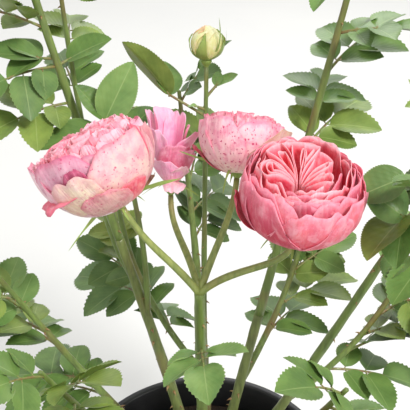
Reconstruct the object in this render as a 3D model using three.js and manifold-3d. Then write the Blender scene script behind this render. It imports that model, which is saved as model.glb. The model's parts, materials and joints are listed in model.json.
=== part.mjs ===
// A rose bush in a round nursery pot, in millimetres, +Z up.
// The origin is the centre of the pot's flat underside, and +X is the viewer's right.
import * as THREE from 'three';
import { mergeVertices } from 'three/addons/utils/BufferGeometryUtils.js';
import Module from 'manifold-3d';

const wasm = await Module();
wasm.setup();

// Driving dimensions, in millimetres and degrees
const gap = 0.3;
const pot = { height: 215, baseRadius: 95, topRadius: 116, wall: 3, floor: 4, rimHeight: 22, rimOut: 5 };
const soil = { drop: 24, rise: 6, sides: 28 };
const stump = { radius: 13, height: 20, socket: 0.06, collar: 1.1, caneOut: 11, caneUp: 9 };
const trussNode = [-4, -38, 451];
const pedicel = { rootRadius: 2.5, tipRadius: 2.1, socket: 0.13 };
const leaf = { length: 57, width: 42, thick: 1.2, rachis: 56, rachisRadius: 1.0, sink: 5, clearance: 3,
  pairAt: 0.56, pairPart: 0.88, pairAngle: 66, crest: 0.3,
  shifts: [0, 32, -32, 64, -64, 100, -100, 140, -140] };
const lensProfile = [[0, -0.5], [1, 0], [0, 0.5]].map(([x, y]) => new THREE.Vector2(x, y));
const goldenAngle = 137.5;
const soilTop = pot.height - soil.drop;

// Each cane leaves the stump at a root heading, turns to its own, and reaches out and up.
// The bough runs to boughEnd, the fraction of the cane where its foliage begins.
const canes = [
  { name: 'front', root: -97, heading: -96, swing: 0, reach: 38.2, height: 451, bow: 1, foot: 5.2, tip: 4.0,
    boughEnd: 0.42, leaves: 5, size: 0.95, seed: 11, foliageEnd: 0.86 },
  { name: 'left', root: 128, heading: 146, swing: 1.5, reach: 181, height: 738, bow: 0.95, foot: 5.4,
    tip: 2.2, boughEnd: 0.44, leaves: 10, size: 0.9, seed: 23, foliageEnd: 0.97 },
  { name: 'right', root: -9, heading: -12, swing: -7, reach: 175, height: 604, bow: 0.85, foot: 5.0, tip: 2.0,
    boughEnd: 0.42, leaves: 9, size: 0.95, seed: 53, foliageEnd: 0.97 },
  { name: 'back_right', root: 37, heading: 34, swing: -3, reach: 136, height: 712, bow: 0.96, foot: 5.0,
    tip: 2.0, boughEnd: 0.34, leaves: 11, size: 0.95, seed: 61, foliageEnd: 0.98 },
  { name: 'low_front_left', root: -143, heading: -142, swing: -6, reach: 140, height: 408, bow: 0.85,
    foot: 4.2, tip: 1.9, boughEnd: 0.4, leaves: 7, size: 1.0, seed: 71, foliageEnd: 0.97 },
  { name: 'low_front_right', root: -52, heading: -50, swing: 5, reach: 138, height: 414, bow: 0.85,
    foot: 4.2, tip: 1.9, boughEnd: 0.4, leaves: 7, size: 1.0, seed: 83, foliageEnd: 0.97 },
  { name: 'low_left', root: 173, heading: 178, swing: 8, reach: 158, height: 452, bow: 0.82, foot: 4.4,
    tip: 1.9, boughEnd: 0.38, leaves: 8, size: 1.0, seed: 97, foliageEnd: 0.97 },
  { name: 'back', root: 83, heading: 92, swing: 6, reach: 168, height: 520, bow: 1.0, foot: 5.2, tip: 1.9,
    boughEnd: 0.42, leaves: 8, size: 0.95, seed: 149, foliageEnd: 0.97 },
];

// A side shoot forks off a bough just below its tip. Its socket is part of the bough,
// bulge is how far out it goes at first, and lift how far up.
const sideShoots = [
  { name: 'left_behind', from: 'left', at: 0.37, tip: [-112, 104, 690], bulge: 0.85, lift: 0.15, foot: 3.0,
    endRadius: 1.7, socket: 24, leaves: 9, size: 0.9, seed: 167, foliageStart: 0.16, foliageEnd: 0.97 },
  { name: 'inner_left', from: 'left', at: 0.3, tip: [-72, 57, 547], bulge: -0.25, lift: 0.5, foot: 2.8,
    endRadius: 1.7, socket: 26, leaves: 4, size: 0.85, seed: 41, foliageStart: 0.2, foliageEnd: 0.6 },
  { name: 'middle', from: 'back', at: 0.3, tip: [1, 92, 573], bulge: -0.35, lift: 0.4, foot: 3.0,
    endRadius: 1.7, socket: 30, leaves: 5, size: 0.85, seed: 39, foliageStart: 0.2, foliageEnd: 0.62 },
  { name: 'back_left', from: 'back', at: 0.26, tip: [-79, 118, 432], bulge: 0.9, lift: 0.35, foot: 3.2,
    endRadius: 2.3, socket: 16, leaves: 6, size: 0.95, seed: 113, foliageStart: 0.25, foliageEnd: 0.74 },
  { name: 'back_far_right', from: 'back_right', at: 0.2, tip: [94, 112, 426], bulge: 0.8, lift: 0.35,
    foot: 3.2, endRadius: 2.3, socket: 16, leaves: 6, size: 0.95, seed: 131, foliageStart: 0.25,
    foliageEnd: 0.74 },
  { name: 'low_right', from: 'right', at: 0.3, tip: [167, 22, 448], bulge: 0.75, lift: 0.3, foot: 3.0,
    endRadius: 1.8, socket: 16, leaves: 7, size: 1.0, seed: 103, foliageStart: 0.25, foliageEnd: 0.97 },
];

// Blooms: the foot of the receptacle, the way the bloom looks, its width and its height over the foot.
// cup is how upright the petals stand, from 0, flat, to 1.
const blooms = [
  { name: 'bloom_left', foot: [-56, -35, 522], axis: [-0.47, 0.21, 0.86], width: 84, height: 70, cup: 0.86,
    spin: 10, whorls: 3, petals: 6, quarters: 4 },
  { name: 'bloom_spent', foot: [-26, 22, 498], axis: [0.03, 0.36, 0.93], width: 43, height: 68, cup: 1.0,
    spin: 50, whorls: 2, petals: 4, quarters: 0 },
  { name: 'bloom_middle', foot: [23, 4, 523], axis: [0.1, 0.57, 0.81], width: 66, height: 48, cup: 0.84,
    spin: 30, whorls: 2, petals: 6, quarters: 4 },
  { name: 'bloom_right', foot: [61, -47, 506], axis: [0.05, -0.09, 0.99], width: 88, height: 66, cup: 0.8,
    spin: 0, whorls: 3, petals: 6, quarters: 5 },
];
const shootBlooms = [
  { name: 'bloom_back_left', shoot: 'back_left', width: 74, height: 56, cup: 0.84,
    spin: 27, whorls: 2, petals: 6, quarters: 4 },
  { name: 'bloom_back_right', shoot: 'back_far_right', width: 70, height: 54, cup: 0.84,
    spin: 70, whorls: 2, petals: 6, quarters: 4 },
];
const bud = { name: 'bud', shoot: 'middle', width: 26, height: 33, sepals: 5 };

// Leaves that the view from the front shows one by one: where their stalk leaves the stem,
// its heading, rise and length, and each leaflet's heading, rise, roll, length and width
const shownLeaves = {
  left: [
    { at: 0.71, heading: 30, rise: 20, length: 9, leaflets: [[5, 30, 20, 38, 27]] },
    { at: 0.72, heading: 190, rise: 5, length: 12,
      leaflets: [[192, 16, -10, 42, 30], [235, -4, 0, 34, 25], [150, 20, 0, 34, 24]] },
  ],
  middle: [
    { at: 0.885, heading: 172, rise: 30, length: 34,
      leaflets: [[180, 57, 60, 58, 28], [100, 38, 20, 34, 24]] },
    { at: 0.93, heading: 35, rise: 38, length: 13, leaflets: [[10, 30, 20, 20, 11], [80, 36, 0, 15, 9]] },
    { at: 0.9, heading: 200, rise: 30, length: 8, leaflets: [[215, 20, 0, 10, 6]] },
  ],
  inner_left: [
    { at: 0.97, heading: 160, rise: 20, length: 7, leaflets: [[34, 58, 50, 50, 30], [150, 48, 0, 36, 26]] },
    { at: 0.9, heading: 40, rise: 30, length: 8, leaflets: [[40, 32, 10, 32, 23]] },
    { at: 0.94, heading: 215, rise: 8, length: 10, leaflets: [[212, 6, 25, 50, 34]] },
  ],
  right: [
    { at: 0.8, heading: 215, rise: 10, length: 9,
      leaflets: [[164, 34, 25, 36, 30], [226, -10, 20, 46, 32], [251, -30, 20, 38, 27]] },
    { at: 0.86, heading: 150, rise: 5, length: 18, leaflets: [[190, -18, 0, 38, 26]] },
  ],
  back_right: [
    { at: 0.93, heading: 240, rise: -12, length: 22,
      leaflets: [[226, -30, 10, 50, 30], [260, -10, 0, 36, 25]] },
  ],
};

// Colours, as the photograph shows them
function plain(name, color, roughness) {
  return new THREE.MeshStandardMaterial({ name, color, roughness, metalness: 0 });
}
const finish = {
  pot: plain('black_plastic', 0x1b1c1d, 0.55),
  soil: plain('compost', 0x3a2b20, 1),
  bark: plain('green_bark', 0x66703a, 0.7),
  foliage: plain('foliage', 0x4f7a35, 0.5),
  petal: plain('petal', 0xee8f9f, 0.6),
  bud: plain('bud', 0xe6dca0, 0.6),
};

const rad = THREE.MathUtils.degToRad;
const vec = (x, y, z) => new THREE.Vector3(x, y, z);
const point = ([x, y, z]) => vec(x, y, z);
const up = vec(0, 0, 1);

// A direction from a heading round +Z and a rise over level
function toward(heading, rise) {
  const level = Math.cos(rad(rise));
  return vec(level * Math.cos(rad(heading)), level * Math.sin(rad(heading)), Math.sin(rad(rise)));
}

// Seeded numbers from 0 to 1
class Draw {
  constructor(seed) {
    this.state = seed;
  }
  next() {
    this.state = (Math.imul(this.state, 1664525) + 1013904223) >>> 0;
    return this.state / 4294967296;
  }
  between(low, high) {
    return low + (high - low) * this.next();
  }
}

// The line of a cane, from the stump to its tip
class CaneLine extends THREE.Curve {
  constructor(cane) {
    super();
    this.cane = cane;
    this.start = soilTop + stump.caneUp;
  }
  getPoint(t, target = new THREE.Vector3()) {
    const { root, heading, swing, reach, height, bow } = this.cane;
    const out = stump.caneOut + (reach - stump.caneOut) * Math.pow(t, bow);
    const turn = rad(heading + swing * t + (root - heading) * Math.pow(1 - t, 3));
    return target.set(out * Math.cos(turn), out * Math.sin(turn), this.start + (height - this.start) * t);
  }
}

// Part of a line, from one fraction of it to another
class Span extends THREE.Curve {
  constructor(line, from, to) {
    super();
    this.line = line;
    this.from = from;
    this.to = to;
  }
  getPoint(t, target = new THREE.Vector3()) {
    return this.line.getPoint(this.from + (this.to - this.from) * t, target);
  }
}

// A closed geometry becomes a solid once its vertices are shared
function solid(geometry) {
  const bare = geometry.clone();
  bare.deleteAttribute('normal');
  bare.deleteAttribute('uv');
  const merged = mergeVertices(bare, 1e-3);
  return new wasm.Manifold(new wasm.Mesh({
    numProp: 3,
    vertProperties: merged.attributes.position.array,
    triVerts: new Uint32Array(merged.index.array),
  }));
}

// Solids are joined, and only the largest closed body is kept: no scraps and no sealed hollows
function join(solids) {
  const whole = solids.reduce((sum, piece) => sum.add(piece));
  const bodies = whole.decompose();
  return bodies.reduce((best, body) => (body.volume() > best.volume() ? body : best));
}

function meshOf(name, shape, material) {
  const mesh = shape.getMesh();
  const geometry = new THREE.BufferGeometry();
  geometry.setAttribute('position', new THREE.BufferAttribute(new Float32Array(mesh.vertProperties), 3));
  geometry.setIndex(new THREE.BufferAttribute(new Uint32Array(mesh.triVerts), 1));
  const result = new THREE.Mesh(geometry, material);
  result.name = name;
  return result;
}

// A tapering limb: a closed cylinder bent along a line
function limb(line, startRadius, endRadius, sides, steps) {
  const geometry = new THREE.CylinderGeometry(endRadius, startRadius, 1, sides, steps);
  const position = geometry.attributes.position;
  const place = new THREE.Vector3();
  for (let i = 0; i < position.count; i += 1) {
    place.fromBufferAttribute(position, i);
    const t = place.y + 0.5;
    const along = line.getTangent(t);
    const side = Math.abs(along.z) > 0.9 ? vec(1, 0, 0) : up.clone();
    const across = side.addScaledVector(along, -side.dot(along)).normalize();
    const third = new THREE.Vector3().crossVectors(along, across);
    const centre = line.getPoint(t);
    centre.addScaledVector(third, place.x).addScaledVector(across, place.z);
    position.setXYZ(i, centre.x, centre.y, centre.z);
  }
  return solid(geometry);
}

// A leaflet: a thin six-sided lens drawn out to an ovate outline, folded on its midrib and drooping
function leaflet(base, direction, normal, length, width) {
  const geometry = new THREE.LatheGeometry(lensProfile, 6);
  const side = new THREE.Vector3().crossVectors(normal, direction).normalize();
  const position = geometry.attributes.position;
  for (let i = 0; i < position.count; i += 1) {
    const onRing = Math.hypot(position.getX(i), position.getZ(i)) > 0.5;
    const along = onRing ? 0.5 + 0.5 * position.getZ(i) : leaf.crest;
    const across = position.getX(i) * (1.18 - 0.36 * along);
    const lift = 0.16 * width * Math.abs(across) - 0.12 * length * along * along;
    const place = base.clone();
    place.addScaledVector(direction, length * along);
    place.addScaledVector(side, 0.5 * width * across);
    place.addScaledVector(normal, leaf.thick * position.getY(i) + lift);
    position.setXYZ(i, place.x, place.y, place.z);
  }
  return geometry;
}

// Two opposite leaflets as one lens: its ring goes from tip to tip by the waist on the stalk
const pairRing = [[1, 0], [0.5, 1], [0, 0.14], [-0.5, 1], [-1, 0], [-0.5, -1], [0, -0.14], [0.5, -1]];
function leafletPair(centre, tangent, normal, length, width) {
  const geometry = new THREE.LatheGeometry(lensProfile, pairRing.length);
  const position = geometry.attributes.position;
  const turnStep = (2 * Math.PI) / pairRing.length;
  for (let i = 0; i < position.count; i += 1) {
    const onRing = Math.hypot(position.getX(i), position.getZ(i)) > 0.5;
    const turn = Math.atan2(position.getX(i), position.getZ(i));
    const ring = (Math.round(turn / turnStep) + pairRing.length) % pairRing.length;
    const [out, across] = onRing ? pairRing[ring] : [0, 0];
    const hand = out < 0 ? -1 : 1;
    const way = tangent.clone().applyAxisAngle(normal, rad(hand * leaf.pairAngle));
    const side = new THREE.Vector3().crossVectors(normal, way).multiplyScalar(hand);
    const place = centre.clone();
    place.addScaledVector(way, length * Math.abs(out));
    place.addScaledVector(side, 0.5 * width * across);
    place.addScaledVector(normal, leaf.thick * position.getY(i) - 0.12 * length * out * out);
    position.setXYZ(i, place.x, place.y, place.z);
  }
  return geometry;
}

// The plane of a leaf: its normal, as near upright as its direction lets it, then rolled
function leafNormal(direction, roll) {
  const normal = up.clone().addScaledVector(direction, -up.dot(direction));
  if (normal.length() < 0.05) {
    normal.set(0, -1, 0);
  }
  return normal.normalize().applyAxisAngle(direction, rad(roll));
}

// A compound leaf as geometry: a drooping stalk with a leaflet at its end and a pair along it
function compoundLeaf(root, heading, rise, roll, size) {
  const stalk = leaf.rachis * size;
  const direction = toward(heading, rise);
  const end = root.clone().addScaledVector(direction, stalk);
  end.z -= 0.16 * stalk;
  const bend = root.clone().addScaledVector(direction, 0.5 * stalk);
  const line = new THREE.QuadraticBezierCurve3(root, bend, end);
  const pieces = [];
  const last = line.getTangent(1);
  const normal = leafNormal(last, roll);
  const tipBase = line.getPoint(1).addScaledVector(last, -leaf.sink);
  pieces.push(leaflet(tipBase, last, normal, leaf.length * size + leaf.sink, leaf.width * size));
  const tangent = line.getTangent(leaf.pairAt);
  const pairNormal = leafNormal(tangent, roll);
  const [length, width] = [leaf.length * size * leaf.pairPart, leaf.width * size * leaf.pairPart];
  pieces.push(leafletPair(line.getPoint(leaf.pairAt), tangent, pairNormal, length, width));
  return { line, pieces };
}

// The lines of all limbs, sampled, so that leaves can keep clear of them
const limbs = [];
function sampleLine(owner, kind, line, radius) {
  const count = Math.ceil(line.getLength() / 7);
  for (let i = 0; i <= count; i += 1) {
    limbs.push({ owner, kind, radius, place: line.getPoint(i / count) });
  }
}

const lines = {};
for (const cane of canes) {
  lines[cane.name] = new CaneLine(cane);
  sampleLine(cane.name, 'bough', new Span(lines[cane.name], 0, cane.boughEnd), cane.foot);
  sampleLine(cane.name, 'stem', new Span(lines[cane.name], cane.boughEnd, 1), cane.foot);
}

// A side shoot's line starts inside its parent
for (const shoot of sideShoots) {
  const root = lines[shoot.from].getPoint(shoot.at);
  const tip = point(shoot.tip);
  const bend = root.clone();
  bend.x += shoot.bulge * (tip.x - root.x);
  bend.y += shoot.bulge * (tip.y - root.y);
  bend.z += shoot.lift * (tip.z - root.z);
  lines[shoot.name] = new THREE.QuadraticBezierCurve3(root, bend, tip);
  sampleLine(shoot.name, 'stem', lines[shoot.name], shoot.foot);
}

// A flower stalk leaves the truss node towards its bloom and ends along the bloom's axis
function stalkLine(bloom) {
  const start = point(trussNode);
  const foot = point(bloom.foot);
  const axis = point(bloom.axis).normalize();
  const reach = start.distanceTo(foot) * 0.36;
  const first = foot.clone().sub(start).setZ(0).multiplyScalar(0.4).add(start);
  first.z += reach;
  const last = foot.clone().addScaledVector(axis, -reach);
  return new THREE.CubicBezierCurve3(start, first, last, foot);
}
const stalks = blooms.map((bloom) => ({ bloom, line: stalkLine(bloom) }));
for (const { bloom, line } of stalks) {
  sampleLine(bloom.name, 'stalk', line, pedicel.rootRadius);
}

// Blooms and the bud at the tip of a side shoot carry on its line
for (const bloom of [...shootBlooms, bud]) {
  bloom.foot = lines[bloom.shoot].getPoint(1).toArray();
  bloom.axis = lines[bloom.shoot].getTangent(1).toArray();
}

// Each bloom fills a round space that no leaf enters
const spaces = [...blooms, ...shootBlooms, bud].map((bloom) => {
  const axis = point(bloom.axis).normalize();
  const centre = point(bloom.foot).addScaledVector(axis, 0.55 * bloom.height);
  return { centre, radius: 0.5 * Math.max(bloom.width, bloom.height) + leaf.clearance };
});

// Leaves already placed, as spots with a radius, so that those of another mass keep off them
const spots = [];

function corners(geometries) {
  const places = [];
  for (const geometry of geometries) {
    const position = geometry.attributes.position;
    for (let i = 0; i < position.count; i += 1) {
      places.push(new THREE.Vector3().fromBufferAttribute(position, i));
    }
  }
  return places;
}

function overPot(place) {
  const out = Math.hypot(place.x, place.y);
  return place.z < pot.height + 8 && out < pot.topRadius + 16;
}

// A leaf stays where its whole blade is nearest to its own stem and clear of limbs, blooms and leaves
function fits(places, owner) {
  for (const place of places) {
    if (overPot(place)) {
      return false;
    }
    let own = Infinity;
    let other = Infinity;
    for (const spot of limbs) {
      const distance = place.distanceTo(spot.place);
      if (spot.owner !== owner) {
        other = Math.min(other, distance);
      } else if (spot.kind === 'stem') {
        own = Math.min(own, distance);
      } else if (distance < spot.radius + leaf.clearance) {
        return false;
      }
    }
    if (own + leaf.clearance > other) {
      return false;
    }
    if (spaces.some((space) => place.distanceTo(space.centre) < space.radius)) {
      return false;
    }
    if (spots.some((spot) => spot.owner !== owner && place.distanceTo(spot.place) < spot.radius)) {
      return false;
    }
  }
  return true;
}

function keepSpots(owner, base, direction, length, width) {
  const count = 4;
  for (let i = 0; i <= count; i += 1) {
    const place = base.clone().addScaledVector(direction, (length * i) / count);
    spots.push({ owner, place, radius: 0.5 * width + 2 * leaf.clearance });
  }
}

// The leaves that the front view shows one by one
function shownLeafPieces(owner, line) {
  const pieces = [];
  for (const entry of shownLeaves[owner] ?? []) {
    const root = line.getPoint(entry.at);
    const direction = toward(entry.heading, entry.rise);
    const end = root.clone().addScaledVector(direction, entry.length);
    const past = end.clone().addScaledVector(direction, 0.5 * leaf.sink);
    pieces.push(limb(new THREE.LineCurve3(root, past), 1.5, 1.3, 3, 1));
    for (const [heading, rise, roll, length, width] of entry.leaflets) {
      const out = toward(heading, rise);
      const base = end.clone().addScaledVector(out, -leaf.sink);
      pieces.push(solid(leaflet(base, out, leafNormal(out, roll), length + leaf.sink, width)));
      keepSpots(owner, base, out, length, width);
    }
  }
  return pieces;
}

// Compound leaves by the seeded rule: a golden angle apart, and lower and longer further down
function seededLeafPieces({ name, foliageEnd, leaves, size, seed }, line, from) {
  const draw = new Draw(seed);
  const pieces = [];
  let heading = draw.between(0, 360);
  for (let i = 0; i < leaves; i += 1) {
    const part = i / (leaves - 1);
    const root = line.getPoint(from + (foliageEnd - from) * part);
    const turned = heading + draw.between(-18, 18);
    const rise = 2 + 38 * part + draw.between(-16, 16);
    const roll = draw.between(-34, 34);
    const scale = size * (1 - 0.3 * part * part) * draw.between(0.88, 1.1);
    for (const shift of leaf.shifts) {
      const { line: stalk, pieces: blades } = compoundLeaf(root, turned + shift, rise, roll, scale);
      if (fits(corners(blades), name)) {
        pieces.push(limb(stalk, 1.5 * leaf.rachisRadius, leaf.rachisRadius, 3, 1));
        pieces.push(...blades.map(solid));
        break;
      }
    }
    heading += goldenAngle;
  }
  return pieces;
}

// Revolved pieces: the profile starts and ends on the axis
function turned(points, sides) {
  const geometry = new THREE.LatheGeometry(points.map(([x, y]) => new THREE.Vector2(x, y)), sides);
  return geometry.rotateX(Math.PI / 2);
}

function makePot() {
  const { height, baseRadius, topRadius, wall, floor, rimHeight, rimOut } = pot;
  const profile = [
    [0, 0], [baseRadius, 0], [topRadius - 1, height - rimHeight], [topRadius + rimOut, height - rimHeight],
    [topRadius + rimOut + 1, height - 2], [topRadius + rimOut - 1, height], [topRadius - wall, height],
    [baseRadius - wall, floor], [0, floor],
  ];
  return meshOf('pot', solid(turned(profile, 32)), finish.pot);
}

function innerRadius(z) {
  const low = pot.baseRadius - pot.wall;
  const high = pot.topRadius - pot.wall;
  return low + ((high - low) * (z - pot.floor)) / (pot.height - pot.floor) - 0.8;
}

function makeSoil() {
  const low = pot.floor + gap;
  const edge = soilTop - soil.rise;
  const flat = 1.6 * stump.radius;
  const profile = [
    [0, low], [innerRadius(low), low], [innerRadius(edge), edge], [flat, soilTop], [0, soilTop],
  ];
  return meshOf('soil', solid(turned(profile, soil.sides)), finish.soil);
}

// The stump: a knuckle with a short socket for each cane
function makeStump() {
  const { radius, height, socket, collar } = stump;
  const foot = soilTop + gap;
  const profile = [
    [0, foot], [radius * 1.25, foot], [radius, foot + 0.35 * height],
    [radius * 0.85, foot + 0.75 * height], [radius * 0.4, foot + height], [0, foot + height],
  ];
  const pieces = [solid(turned(profile, 14))];
  for (const cane of canes) {
    pieces.push(limb(new Span(lines[cane.name], 0, socket), cane.foot * collar, cane.foot * collar, 7, 1));
  }
  return meshOf('stump', join(pieces), finish.bark);
}

// The fraction of a line that the gap between two butting pieces takes
function gapPart(line) {
  return gap / line.getLength();
}

function radiusAt(cane, t) {
  return cane.foot + (cane.tip - cane.foot) * t;
}

function makeBough(cane) {
  const line = lines[cane.name];
  const from = stump.socket + gapPart(line);
  const span = new Span(line, from, cane.boughEnd);
  const pieces = [limb(span, radiusAt(cane, from), radiusAt(cane, cane.boughEnd), 6, 5)];
  for (const shoot of sideShoots.filter((each) => each.from === cane.name)) {
    const shootLine = lines[shoot.name];
    const stub = new Span(shootLine, 0, shoot.socket / shootLine.getLength());
    pieces.push(limb(stub, shoot.foot, shoot.foot, 6, 2));
  }
  return meshOf(`bough_${cane.name}`, join(pieces), finish.bark);
}

function makeFoliage(cane) {
  const line = lines[cane.name];
  const from = cane.boughEnd + gapPart(line);
  const first = cane.boughEnd + 0.06;
  const steps = Math.max(4, Math.round((1 - from) * 9));
  const pieces = [limb(new Span(line, from, 1), radiusAt(cane, from), radiusAt(cane, 1), 5, steps)];
  pieces.push(...shownLeafPieces(cane.name, line));
  pieces.push(...seededLeafPieces(cane, line, first));
  if (cane.name === 'front') {
    for (const { line: stalk } of stalks) {
      const stub = new Span(stalk, 0, pedicel.socket);
      pieces.push(limb(stub, pedicel.rootRadius * 1.15, pedicel.rootRadius, 6, 2));
    }
  }
  return meshOf(`foliage_${cane.name}`, join(pieces), finish.foliage);
}

function makeShoot(shoot) {
  const { name, foot, endRadius, socket } = shoot;
  const line = lines[name];
  const span = new Span(line, (socket + gap) / line.getLength(), 1);
  const pieces = [limb(span, foot, endRadius, 5, 7)];
  pieces.push(...shownLeafPieces(name, line));
  pieces.push(...seededLeafPieces(shoot, line, shoot.foliageStart));
  return meshOf(`foliage_${name}`, join(pieces), finish.foliage);
}

function makeStalk({ bloom, line }) {
  const span = new Span(line, pedicel.socket + gapPart(line), 1);
  const name = bloom.name.replace('bloom', 'flower_stalk');
  return meshOf(name, limb(span, pedicel.rootRadius, pedicel.tipRadius, 6, 6), finish.bark);
}

// A whorl of petals in the bloom's own frame, its axis on +Z: a thick-bottomed cup with a
// stepped, scalloped wall. open leans the wall out, from 0, upright, to 1.
function whorl({ radius, base, height, lobes, spin, open, wall }) {
  const inner = 1 - wall / radius;
  const profile = [[0, 0], [0.62, 0.14], [0.97, 0.55], [1, 1], [inner, 0.97], [inner - 0.04, 0.56], [0, 0.5]];
  const sides = lobes * 3;
  const geometry = turned(profile, sides);
  const position = geometry.attributes.position;
  for (let i = 0; i < position.count; i += 1) {
    const out = Math.hypot(position.getX(i), position.getY(i));
    const rise = position.getZ(i);
    const turn = Math.atan2(position.getY(i), position.getX(i));
    const step = (((turn / (2 * Math.PI)) * sides + sides + 0.5) | 0) % 3;
    const crown = step === 1 ? 1 : 0.93;
    const bulge = 1 + (step - 1) * 0.05 * rise;
    const reach = radius * out * bulge * (1 + open * rise * rise);
    const aimed = turn + rad(spin);
    position.setXYZ(i, reach * Math.cos(aimed), reach * Math.sin(aimed), base + height * rise * crown);
  }
  return solid(geometry);
}

function makeBloom(bloom) {
  const { width, height, cup, spin, whorls, petals, quarters } = bloom;
  const radius = 0.5 * width;
  const hip = 11;
  const body = height - hip;
  const pieces = [];
  pieces.push(solid(turned([[0, 0], [2.6, 0], [5.6, 4], [6.2, 8], [5, hip + 2], [0, hip + 2]], 8)));
  let heart = radius;
  for (let row = 0; row < whorls; row += 1) {
    const depth = whorls > 1 ? row / (whorls - 1) : 0;
    const open = (1 - cup) * (1 - depth);
    heart = (radius * (1 - 0.4 * depth)) / (1.05 * (1 + open));
    pieces.push(whorl({
      radius: heart,
      base: hip - 3,
      height: (body + 3) * (0.9 + 0.1 * depth),
      lobes: petals - row,
      spin: spin + 41 * row,
      open,
      wall: 1.6,
    }));
  }
  for (let i = 0; i < quarters; i += 1) {
    const fold = new THREE.BoxGeometry(0.86 * heart, 2, 0.44 * body, 1, 1, 1);
    fold.translate(0.45 * heart, 0, hip + 0.68 * body);
    fold.rotateZ(rad(spin + 20 + (360 / quarters) * i));
    pieces.push(solid(fold));
  }
  for (let i = 0; i < 5; i += 1) {
    const out = toward(spin + 72 * i, -38);
    const base = vec(0, 0, hip - 4);
    pieces.push(solid(leaflet(base, out, leafNormal(out, 0), 27, 6.5)));
  }
  return placed(join(pieces), bloom);
}

function makeBud() {
  const { width, height, sepals } = bud;
  const radius = 0.5 * width;
  const body = [
    [0, 0], [1.8, 0], [4.2, 2], [4.6, 5], [0.8 * radius, 9], [radius, 0.45 * height],
    [0.82 * radius, 0.75 * height], [0.35 * radius, 0.96 * height], [0, height],
  ];
  const pieces = [solid(turned(body, 10))];
  for (let i = 0; i < sepals; i += 1) {
    const out = toward((360 / sepals) * i, 76);
    const base = vec(0.55 * radius * Math.cos(rad(72 * i)), 0.55 * radius * Math.sin(rad(72 * i)), 4);
    pieces.push(solid(leaflet(base, out, leafNormal(out, 0), 0.8 * height, 8)));
  }
  return placed(join(pieces), bud);
}

// Turns a bloom's axis from +Z to its own way and sets it on its stalk, the gap clear
function placed(shape, bloom) {
  const axis = point(bloom.axis).normalize();
  const matrix = new THREE.Matrix4().makeRotationFromQuaternion(
    new THREE.Quaternion().setFromUnitVectors(up, axis));
  matrix.setPosition(point(bloom.foot).addScaledVector(axis, gap));
  return shape.transform(matrix.toArray());
}

const bush = new THREE.Group();
bush.name = 'rose_bush';
bush.add(makePot());
bush.add(makeSoil());
bush.add(makeStump());
for (const cane of canes) {
  bush.add(makeBough(cane));
}
for (const stalk of stalks) {
  bush.add(makeStalk(stalk));
}
for (const bloom of [...blooms, ...shootBlooms]) {
  bush.add(meshOf(bloom.name, makeBloom(bloom), finish.petal));
}
bush.add(meshOf(bud.name, makeBud(), finish.bud));

// Foliage with leaves that the front view shows comes first, so that the others keep off it
for (const first of [true, false]) {
  for (const cane of canes) {
    if (Boolean(shownLeaves[cane.name]) === first) {
      bush.add(makeFoliage(cane));
    }
  }
  for (const shoot of sideShoots) {
    if (Boolean(shownLeaves[shoot.name]) === first) {
      bush.add(makeShoot(shoot));
    }
  }
}

export default bush;
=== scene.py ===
"""Rose bush in a nursery pot, dressed with petals, leaves, bark, moulded plastic and compost."""
import json
import math

import bmesh
import bpy
import numpy as np
from mathutils import Matrix, Vector

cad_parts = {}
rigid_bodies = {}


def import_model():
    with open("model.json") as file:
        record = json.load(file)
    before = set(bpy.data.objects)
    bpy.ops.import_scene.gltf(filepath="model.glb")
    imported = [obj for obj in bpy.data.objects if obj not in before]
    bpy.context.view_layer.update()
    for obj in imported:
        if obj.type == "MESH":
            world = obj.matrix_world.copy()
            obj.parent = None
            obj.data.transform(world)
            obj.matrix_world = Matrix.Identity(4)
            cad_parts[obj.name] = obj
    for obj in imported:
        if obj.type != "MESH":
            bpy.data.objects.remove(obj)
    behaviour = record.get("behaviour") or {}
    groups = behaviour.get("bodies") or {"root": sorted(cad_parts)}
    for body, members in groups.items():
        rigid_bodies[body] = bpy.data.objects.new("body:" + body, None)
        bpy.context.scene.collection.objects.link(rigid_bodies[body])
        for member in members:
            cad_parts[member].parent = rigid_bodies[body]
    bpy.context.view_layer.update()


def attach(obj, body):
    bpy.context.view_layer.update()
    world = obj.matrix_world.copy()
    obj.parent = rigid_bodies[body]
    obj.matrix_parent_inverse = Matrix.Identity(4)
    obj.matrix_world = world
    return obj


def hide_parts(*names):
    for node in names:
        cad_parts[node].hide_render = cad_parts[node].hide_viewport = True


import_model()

bl_info = {
    "name": "Rose bush in a nursery pot",
    "version": (1, 0, 0),
    "blender": (4, 5, 0),
    "location": "View3D > Sidebar > Rose bush",
    "description": "Grows the bush on its packed canes, with its blooms, bud, pot and compost",
    "category": "Add Mesh",
}

# Driving sizes of the plant, in millimetres and degrees, the same as the solids have
MM = 0.001
POT = {"height": 215, "base": 95, "top": 116, "wall": 3, "floor": 4, "rim_height": 22, "rim_out": 5}
SOIL = {"drop": 24, "rise": 6}
STUMP = {"radius": 13, "height": 20, "cane_out": 11, "cane_up": 9}
SOIL_TOP = POT["height"] - SOIL["drop"]
TRUSS_NODE = (-4, -38, 451)
PEDICEL = {"root": 2.5, "tip": 2.1}
LEAF = {"length": 57, "width": 42, "rachis": 56, "sink": 5, "clearance": 3, "thick": 1.2, "droop": 0.12,
        "pair_at": 0.56, "pair_part": 0.88, "pair_angle": 66, "crest": 0.3}
SHIFTS = (0, 32, -32, 64, -64, 100, -100, 140, -140)
GOLDEN_ANGLE = 137.5

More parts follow.
